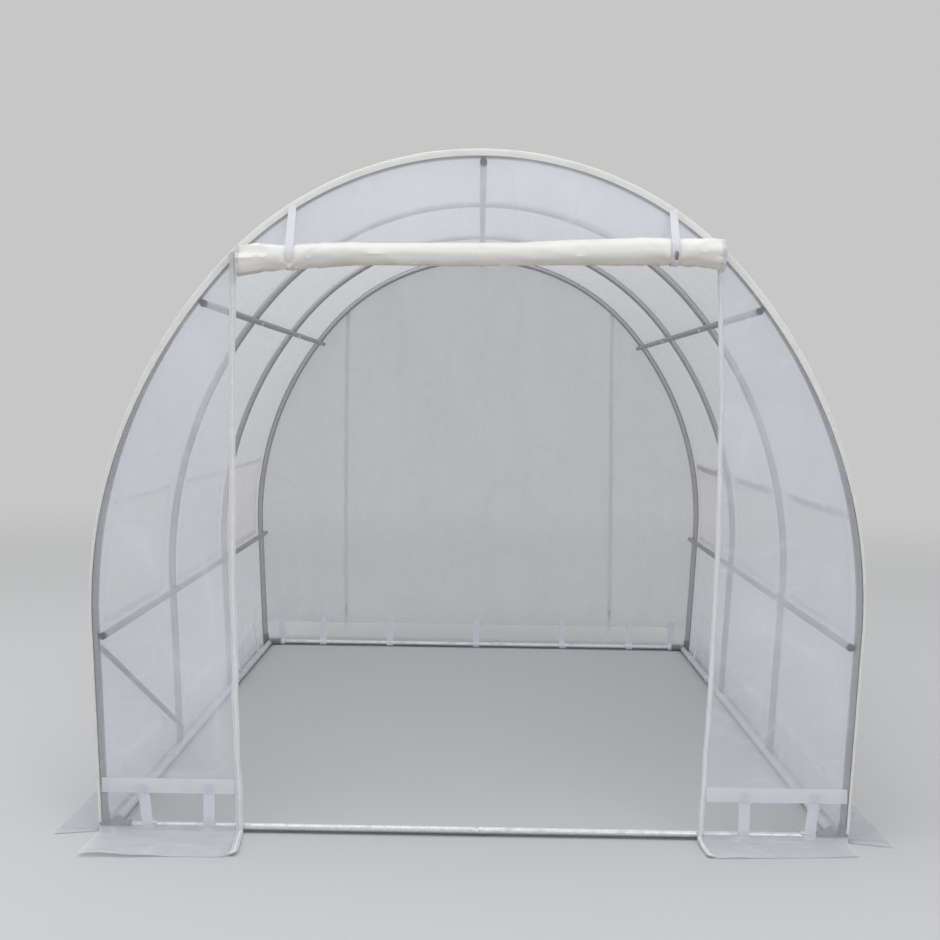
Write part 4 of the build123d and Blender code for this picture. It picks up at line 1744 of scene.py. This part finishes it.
@dataclass
class FrontEnd(TunnelEnd):
    """Open end: a film panel each side of the doorway, and the film over it.

    Each ground flap, left and right, has a length at the doorway and one at its outer end. Each zip has its
    place at the ground and how far it bows out from there.
    """

    head: float = 1.500
    flap_lengths: tuple[tuple[float, float], tuple[float, float]] = ((0.212, 0.224), (0.160, 0.124))
    zip_foot: tuple[float, float] = (0.608, 0.588)
    zip_bow: tuple[float, float] = (0.029, 0.031)
    zip_turn: float = math.radians(50)

    def zip_place(self, side: Side, v: Number) -> Array:
        """How far a zip is from the middle of the tunnel.

        Args:
            side: side of the door.
            v: heights, or minus the distance along the ground.

        Returns:
            The distances.
        """
        height, past = np.maximum(v, 0.0), np.maximum(-np.asarray(v), 0.0)
        if side is Side.RIGHT:
            return self.zip_foot[1] + self.zip_bow[1] * np.sin(math.pi * height / 1.9) + 0.03 * past
        climb = np.minimum(height / 1.1, 1.0)
        return self.zip_foot[0] + self.zip_bow[0] * np.sin(math.pi / 2 * climb) - 0.08 * past

    def tape_width(self, side: Side) -> float:
        """Width of a zip's tape as it shows, the right-hand one being half turned."""
        return self.zip_width * (0.62 if side is Side.RIGHT else 0.84)

    def flap_v(self, side: Side, u: Array, v: Array) -> Array:
        """Second coordinate of a point, where the flap is longer or shorter than the surface's own.

        Args:
            side: side of the door.
            u: distances from the middle of the tunnel.
            v: second coordinates on the surface.

        Returns:
            The coordinates that fit the flap.
        """
        surface = self.surface
        inner, outer = float(self.zip_place(side, 0.0)), float(surface.reach(0.0))
        near, far = self.flap_lengths[0 if side is Side.LEFT else 1]
        reach = near + (far - near) * np.clip((u - inner) / (outer - inner), 0.0, 1.0)
        reach = reach + 0.007 * surface.flutter.rough(u * 7.0, side.value + 2.5)
        flat = np.clip(surface.fold - surface.fold_length - v, 0.0, None)
        return v + flat * (1 - (reach - LINE.fold_radius) / surface.flap)

    def zip_line(self, side: Side) -> Array:
        """Middle line of a zip, from its top and round the flap's corner.

        Args:
            side: side of the door.

        Returns:
            Places across and second coordinates, one row for each point.
        """
        inset, bend = 0.3 * self.zip_width, self.surface.tip + self.corner
        v = np.arange(self.zip_top(side), bend, -0.002)
        down = np.stack([self.zip_place(side, v), v], -1)
        turn = np.linspace(0.0, self.zip_turn, 24)
        radius = self.corner - inset
        centre = np.array([float(self.zip_place(side, bend)) - inset + self.corner, bend])
        return np.concatenate([down, centre - radius * np.stack([np.cos(turn), np.sin(turn)], -1)])

    def _panel(self, side: Side) -> None:
        """Args:
            side: side of the door.
        """
        surface = self.surface
        v = self.rows(self.zip_top(side))[:, None]
        share = np.linspace(0.0, 1.0, 29)[None, :]
        from_tip = np.clip(v - surface.tip, 0.0, self.corner)
        corner = self.corner - np.sqrt(self.corner**2 - (self.corner - from_tip) ** 2)
        inner = self.zip_place(side, v) - 0.3 * self.zip_width + corner
        u = inner + (surface.reach(v) - inner) * share
        v = self.flap_v(side, u, v + 0 * u)
        shape = Shape.grid(surface.place(side.value * u, v), np.stack([u, v], -1))
        name = side.name.lower()
        film = self.add(f"front_panel_film_{name}", shape, END_FILM)
        replaced = [f"front_panel_{name}"] + (["skirts_front"] if side is Side.LEFT else [])
        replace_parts(film, *replaced)
        self.declare(film, u, v, "hoop_front", "base_tube_front")

    def _crescent(self) -> None:
        left, right = (float(self.zip_place(side, self.zip_top(side))) for side in Side)
        u = stops(self.step, -left, right)[None, :]
        crest = LINE.crest(u, COVER_OFFSET) - FILM_GAP
        share = np.linspace(0.0, 1.0, 20)[:, None]
        low = np.minimum(self.head, crest - 0.012)
        v = low + (crest - low) * share
        film = self.add("front_crescent_film", self.surface.skin(u, v, 0.0), CRESCENT_FILM)
        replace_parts(film, "front_crescent")
        rise = (crest - low)[0]
        area = float(np.sum((rise[1:] + rise[:-1]) / 2 * np.diff(u[0])))

    def build(self) -> None:
        """Makes the end's film, hems and zips."""
        self._crescent()
        for side in Side:
            self._panel(side)
            self._zip(side)
            inner = float(self.zip_place(side, self.hem_height)) + self.zip_width / 2
            outer = float(self.surface.reach(self.hem_height)) - self.hem_margin
            left, right = sorted((side.value * inner, side.value * outer))
            self._hem(f"front_hem_{side.name.lower()}", left, right)


@dataclass
class RearEnd(TunnelEnd):
    """Closed end: film with a door between two zips."""

    zip_mean: float = 0.602
    zip_sway: float = 0.006
    zip_gap: float = 0.004
    slider_height: float = 0.17

    def zip_place(self, side: Side, v: Number) -> Array:
        """How far a zip is from the middle of the tunnel."""
        return self.zip_mean + self.zip_sway * np.sin(2.4 * np.asarray(v) + side.value)

    def build(self) -> None:
        """Makes the end's film, hems, zips and sliders."""
        surface = self.surface
        top = float(LINE.crest(0.0, COVER_OFFSET)) - FILM_GAP - 0.0012
        v = self.rows(top, *(top - 0.003 * 1.6**k for k in range(5)))[:, None]
        u = surface.reach(v) * np.linspace(-1.0, 1.0, 131)[None, :]
        film = self.add("rear_film", surface.skin(u, v, 0.0), REAR_FILM)
        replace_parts(film, "rear_panel_right", "rear_panel_left", "rear_crescent", "rear_door", "skirts_rear")
        self.declare(film, u, v, "hoop_rear", "base_tube_rear")
        sliders = []
        for side in Side:
            self._zip(side)
            sliders += self._slider(side, self.slider_height)
        self.add("rear_zip_sliders", Shape.joined(sliders), BRIGHT_STEEL)
        outer = float(surface.reach(self.hem_height)) - self.hem_margin
        inner = self.zip_mean - self.zip_width / 2 - self.zip_gap
        beside = inner + self.zip_width + 2 * self.zip_gap
        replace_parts(self._hem("rear_door_hem", -inner, inner), "hem_bands")
        self._hem("rear_hem_left", -outer, -beside)
        self._hem("rear_hem_right", beside, outer)


@dataclass
class DoorRoll(SubAssembly):
    """Front door rolled up over the doorway, with the straps that hold it.

    Each entry of its lie is a place along the roll, the fall there, and the girth as a share. The toggle has
    a radius and half a length, and is shifted beside its strap, off it and down.
    """

    half_width: float = 0.632
    core: float = 0.008
    length: float = 1.48
    hang: float = 0.014
    tilt: float = 0.0145
    droop: float = 0.003
    strap_width: float = 0.020
    strap_thickness: float = 0.0014
    strap_gap: float = 0.0022
    strap_turn: float = math.radians(205)
    strap_start: tuple[float, float] = (0.0030, 0.007)
    strap_tail: float = 0.004
    left_end: float = -0.621
    right_end: float = 0.612
    lie: tuple[tuple[float, float, float], ...] = (
        (-0.61, 0.004, 1.06), (-0.46, 0.000, 0.96), (-0.33, -0.003, 0.92), (-0.03, 0.003, 0.95),
        (0.08, 0.004, 0.94), (0.18, 0.002, 1.00), (0.38, -0.001, 1.09), (0.48, -0.004, 1.04),
        (0.56, 0.000, 1.06), (0.62, 0.005, 1.10),
    )
    taped: float = 0.009
    taped_turns: float = 4.0
    tape_faces: tuple[float, float] = (0.0013, 0.0003)
    toggle: tuple[float, float] = (0.0045, 0.009)
    toggle_shift: Triple = (0.002, 0.0025, 0.014)

    @property
    def _strap_place(self) -> float:
        """How far a strap's middle is from the middle of the tunnel."""
        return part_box("door_roll_straps")[1].x - self.strap_width / 2

    def _share(self, x: Number) -> Array:
        """Girth of the roll at places across the tunnel, as a share."""
        places, _, shares = np.array(self.lie).T
        return np.interp(x, places, shares)

    def _axis(self, x: Array) -> Array:
        """Points of the roll's axis.

        Args:
            x: places across the tunnel.

        Returns:
            The points, with a last axis of three.
        """
        centre = middle("door_roll")
        share = np.asarray(x, float) / self.half_width
        places, falls, _ = np.array(self.lie).T
        height = centre.z + self.tilt * share - self.droop * share**2 - np.interp(x, places, falls)
        return np.stack([np.asarray(x, float), centre.y + 0 * height, height], -1)

    def _bunched(self, x: Array, angle: Array) -> Array:
        """Added radius where the film is bunched, drawn in or hangs slack.

        Args:
            x: places across the tunnel.
            angle: angle round the roll from its back, going down first.

        Returns:
            The added radius.
        """
        around = angle % (2 * math.pi)
        uneven = Unevenness(44)
        left, right = eased((-x - 0.47) / 0.15), eased((x - 0.53) / 0.10)
        folds = np.cos(7 * around + 5 * uneven(x * 4.0, 0.5) + 9 * x) * (0.0048 * left + 0.0036 * right)
        slack = bell(around - 1.9, 0.75) * (0.013 * left**2 + 0.013 * right**3)
        fan, held = 0.0, 1.0
        for place in (-self._strap_place, self._strap_place):
            for slope in (-0.085, -0.040, 0.045, 0.090):
                fan = fan + bell(x - place - slope * (around - 0.75 * math.pi), 0.010) * bell(x - place, 0.10)
            held = held - bell(x - place, 0.035)
        edge = 2.70 + 0.60 * uneven.rough(x * 3.6, 7.5)
        under = eased((around - 0.3) / 0.8) * (1 - eased((around - edge) / 0.30)) * held
        long_folds = uneven.folds(x * 2.2 + 0.35 * around, 3 * np.cos(around) + 20, 6.0)
        return folds + slack + 0.0042 * fan - 0.0052 * under + 0.0030 * long_folds

    def build(self) -> None:
        """Makes the roll, its straps and the toggle."""
        low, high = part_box("door_roll")
        radius = (high.z - low.z) / 2
        strap_place = self._strap_place
        sheet = RolledSheet(radius, self.core, self.length, self.hang, (-strap_place, strap_place), 40)
        edges = (self.left_end + self.taped, self.right_end - self.taped)
        x = stops(0.008, self.left_end, edges[0], -strap_place, strap_place, edges[1], self.right_end)
        ends = 0.95 * self._share(x) - 0.05 * eased((-x - 0.50) / 0.13) - 0.05 * eased((x - 0.54) / 0.09)
        points, flat, off = sheet.grid(x, self._axis(x), -ALONG, UPWARD, ends, self._bunched)
        roll = self.add("rolled_door", Shape.grid(points, flat), ROLLED_FILM)
        rows = slice(0, int(self.taped_turns * 2 * math.pi / sheet.turn_step))
        high, low = self.tape_faces
        for name, columns in (("left", x <= edges[0]), ("right", x >= edges[1])):
            edge, away = points[rows, columns], off[rows, columns]
            tape = Shape.between(edge + high * away, edge + low * away, flat[rows, columns])
            self.add(f"rolled_door_tape_{name}", tape, ZIP_TAPE)
        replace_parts(roll, "door_roll")
        size = (float(np.ptp(x)), sheet.length + sheet.hang)
        for side in Side:
            place = side.value * strap_place
            axis = self._axis(np.array(place))
            girth = radius * 0.96 * float(sheet.girth(place) * self._share(place)) + self.strap_gap
            centre = (-axis[1] - END_FACE, axis[2])
            before, below = self.strap_start
            top = float(LINE.crest(place, COVER_OFFSET)) - below
            line = wrapped_line((before, top), centre, girth, -self.strap_turn, self.strap_tail)
            plane = (place * ACROSS - END_FACE * ALONG, -ALONG, UPWARD, ACROSS)
            shape = strap(line, (self.strap_width, self.strap_thickness), plane)
            band = self.add(f"door_roll_strap_{side.name.lower()}", shape, ROLL_WEBBING)
            if side is Side.RIGHT:
                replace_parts(band, "door_roll_straps")
        beside, off, below = self.toggle_shift
        face = -END_FACE - centre[0] - girth
        self._toggle(np.array([strap_place + beside, face - off, axis[2] - below]))

    def _toggle(self, centre: Array) -> None:
        """Makes the peg that holds the right-hand strap closed.

        Args:
            centre: the peg's middle.
        """
        radius, half = self.toggle
        angle = np.linspace(0, 2 * math.pi, 14, endpoint=False)
        rings = []
        for bend in np.linspace(-0.5 * math.pi, 0.5 * math.pi, 9):
            reach = radius * max(math.cos(bend), 0.12)
            place = half * math.sin(bend) + math.copysign(half * 0.3, bend) * (bend != 0)
            ring = [(reach * math.cos(a), reach * math.sin(a), place) for a in angle]
            rings.append(centre + np.array(ring))
        self.add("strap_toggle", Shape.sweep(np.array(rings)), TOGGLE_PLASTIC)


@dataclass
class GroundStraps(SubAssembly):
    """Straps that tie the cover's hem to the ground frame.

    A strap at the front or a side has its place and its slant, and one at the rear only its place.
    """

    width: float = 0.029
    thickness: float = 0.0014
    head: float = 0.130
    behind_end: float = 0.0016
    behind_side: float = 0.0030
    slack: float = 0.0002
    turn: float = math.radians(285)
    tail: float = 0.010
    front: tuple[tuple[float, float], ...] = ((-0.864, 0.13), (-0.690, 0.0), (0.704, 0.0), (0.887, -0.10))
    rear: tuple[float, ...] = (-0.890, -0.700, -0.395, 0.0, 0.395, 0.700, 0.890)
    side: tuple[tuple[float, float], ...] = (
        (0.277, 0.04), (0.806, -0.18), (1.175, 0.75), (1.695, 0.60), (2.190, 0.10), (2.710, -0.15),
    )

    def _strap(
        self, start: float, bar: tuple[float, float], turn: float, plane: Sequence[Array], slant: float
    ) -> Shape:
        """A strap from the hem, round a bar and past it.

        Args:
            start: how far to the right it starts in its plane.
            bar: centre of the bar in that plane.
            turn: angle that it bends through on the bar, positive to the left.
            plane: the plane's origin, right and up directions, and the one across it.
            slant: drift across the plane for each metre.

        Returns:
            The strap's shape.
        """
        radius = TUBE + self.thickness / 2 + self.slack
        line = wrapped_line((start, self.head), bar, radius, turn, self.tail)
        return strap(line, (self.width, self.thickness), plane, slant)

    def build(self) -> None:
        """Makes the straps of each end and of both sides."""
        tube, rail = middle("base_tube_front"), middle("base_rail_right")
        bar = (END_FACE + tube.y, tube.z)
        for end, places in ((End.FRONT, self.front), (End.REAR, tuple((x, 0.0) for x in self.rear))):
            straps = []
            for place, slant in places:
                plane = (place * ACROSS + end.value * END_FACE * ALONG, -end.value * ALONG, UPWARD, ACROSS)
                straps.append(self._strap(self.behind_end, bar, self.turn, plane, slant))
            band = self.add(f"ground_straps_{end.name.lower()}", Shape.joined(straps), WEBBING)
            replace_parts(band, f"tie_straps_{end.name.lower()}")
        start = float(COVER.reach(self.head)) - self.behind_side
        for side in Side:
            straps = []
            for place, slant in self.side:
                plane = ((HOOP_PLACES[0] + place) * ALONG, side.value * ACROSS, UPWARD, ALONG)
                straps.append(self._strap(start, (rail.x, rail.z), -self.turn, plane, slant))
            band = self.add(f"ground_straps_{side.name.lower()}", Shape.joined(straps), WEBBING)
            if side is Side.RIGHT:
                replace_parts(band, "tie_straps_side")


@dataclass
class Studio:
    """Camera, floor, backdrop and lamps.

    The focal length is for a picture as wide as the sensor.
    """

    eye: Triple = (-0.001, -5.427, 1.146)
    yaw: float = math.radians(-0.32)
    pitch: float = math.radians(2.75)
    roll: float = math.radians(0.86)
    focal_length: float = 58.29
    backdrop: float = 0.57
    floor_tint: float = 0.56
    seen_by: tuple[str, str, str] = ("Camera", "Glossy", "Transmission")
    floor_half: float = 60.0
    floor_fade: tuple[float, float] = (3.0, 11.0)
    sky: float = 0.78
    key: float = 130.0
    fill: float = 0.45
    aim: Triple = (0.0, 0.0, 0.6)

    def _camera(self) -> None:
        """Makes the camera."""
        ahead = Vector((math.sin(self.yaw), math.cos(self.yaw), 0))
        right = Vector((math.cos(self.yaw), -math.sin(self.yaw), 0))
        up = Vector((0, 0, 1)) * math.cos(self.pitch) + ahead * math.sin(self.pitch)
        back = Vector((0, 0, 1)) * math.sin(self.pitch) - ahead * math.cos(self.pitch)
        level = right * math.cos(self.roll) + up * math.sin(self.roll)
        upward = up * math.cos(self.roll) - right * math.sin(self.roll)
        data = bpy.data.cameras.new("camera")
        data.lens = self.focal_length
        camera = bpy.data.objects.new("camera", data)
        turned = Matrix((level, upward, back)).transposed().to_4x4()
        camera.matrix_world = Matrix.Translation(self.eye) @ turned
        bpy.context.scene.collection.objects.link(camera)
        bpy.context.scene.camera = camera

    def _seen(self, graph: Graph) -> Signal:
        """Where the light path is one that looks at the background."""
        rays = [graph.node("ShaderNodeLightPath", output=f"Is {kind} Ray") for kind in self.seen_by]
        return rays[0].higher(rays[1]).higher(rays[2])

    def _floor(self) -> None:
        """Makes the floor, which turns into the backdrop far away."""
        half = self.floor_half
        mesh = bpy.data.meshes.new("studio_floor")
        corners = [(-half, -half, 0), (half, -half, 0), (half, half, 0), (-half, half, 0)]
        mesh.from_pydata(corners, [], [(0, 1, 2, 3)])
        floor = bpy.data.objects.new("studio_floor", mesh)
        bpy.context.scene.collection.objects.link(floor)
        material = bpy.data.materials.new("studio_floor")
        material.use_nodes = True
        graph = Graph(material.node_tree)
        distance = graph.node("ShaderNodeVectorMath", {0: graph.position}, "Value", operation="LENGTH")
        tint = (*(self.floor_tint,) * 3, 1.0)
        matt = {"Base Color": tint, "Roughness": 0.9, "Specular IOR Level": 0.1}
        near = graph.node("ShaderNodeBsdfPrincipled", matt)
        far = graph.node("ShaderNodeEmission", {"Color": (self.backdrop,) * 3 + (1.0,)})
        away = distance.rise(*self.floor_fade) * self._seen(graph)
        graph.output(graph.mixed(away, near, far))
        mesh.materials.append(material)

    def _light(self) -> None:
        """Makes the lamps and the light from all round."""
        world = bpy.data.worlds.new("studio")
        world.use_nodes = True
        graph = Graph(world.node_tree)
        lit = graph.node("ShaderNodeBackground", {"Color": (0.97, 0.985, 1.0, 1.0), "Strength": self.sky})
        shown = graph.node("ShaderNodeBackground", {"Color": (self.backdrop,) * 3 + (1.0,), "Strength": 1.0})
        graph.output(graph.mixed(self._seen(graph), lit, shown), "ShaderNodeOutputWorld")
        bpy.context.scene.world = world
        lamps = (
            ("lamp_overhead", (-1.2, -1.0, 5.2), 6.0, self.key),
            ("lamp_front", (2.5, -6.5, 3.4), 3.0, self.key * self.fill),
        )
        for name, place, size, power in lamps:
            data = bpy.data.lights.new(name, "AREA")
            data.shape, data.size, data.energy = "SQUARE", size, power
            lamp = bpy.data.objects.new(name, data)
            lamp.location = place
            toward = Vector(self.aim) - Vector(place)
            lamp.rotation_euler = toward.to_track_quat("-Z", "Y").to_euler()
            bpy.context.scene.collection.objects.link(lamp)

    def build(self) -> None:
        """Sets up the studio."""
        self._camera()
        self._floor()
        self._light()
        bpy.context.scene.view_settings.view_transform = "Standard"


def main() -> None:
    """Builds and dresses the tunnel."""
    logging.basicConfig(level=logging.INFO, format="%(message)s")
    Studio().build()
    assemblies = (SteelFrame(), Cover(), FrontEnd(End.FRONT), RearEnd(End.REAR), DoorRoll(), GroundStraps())
    for assembly in assemblies:
        assembly.build()
        assembly.dress()


if __name__ == "__main__":
    main()
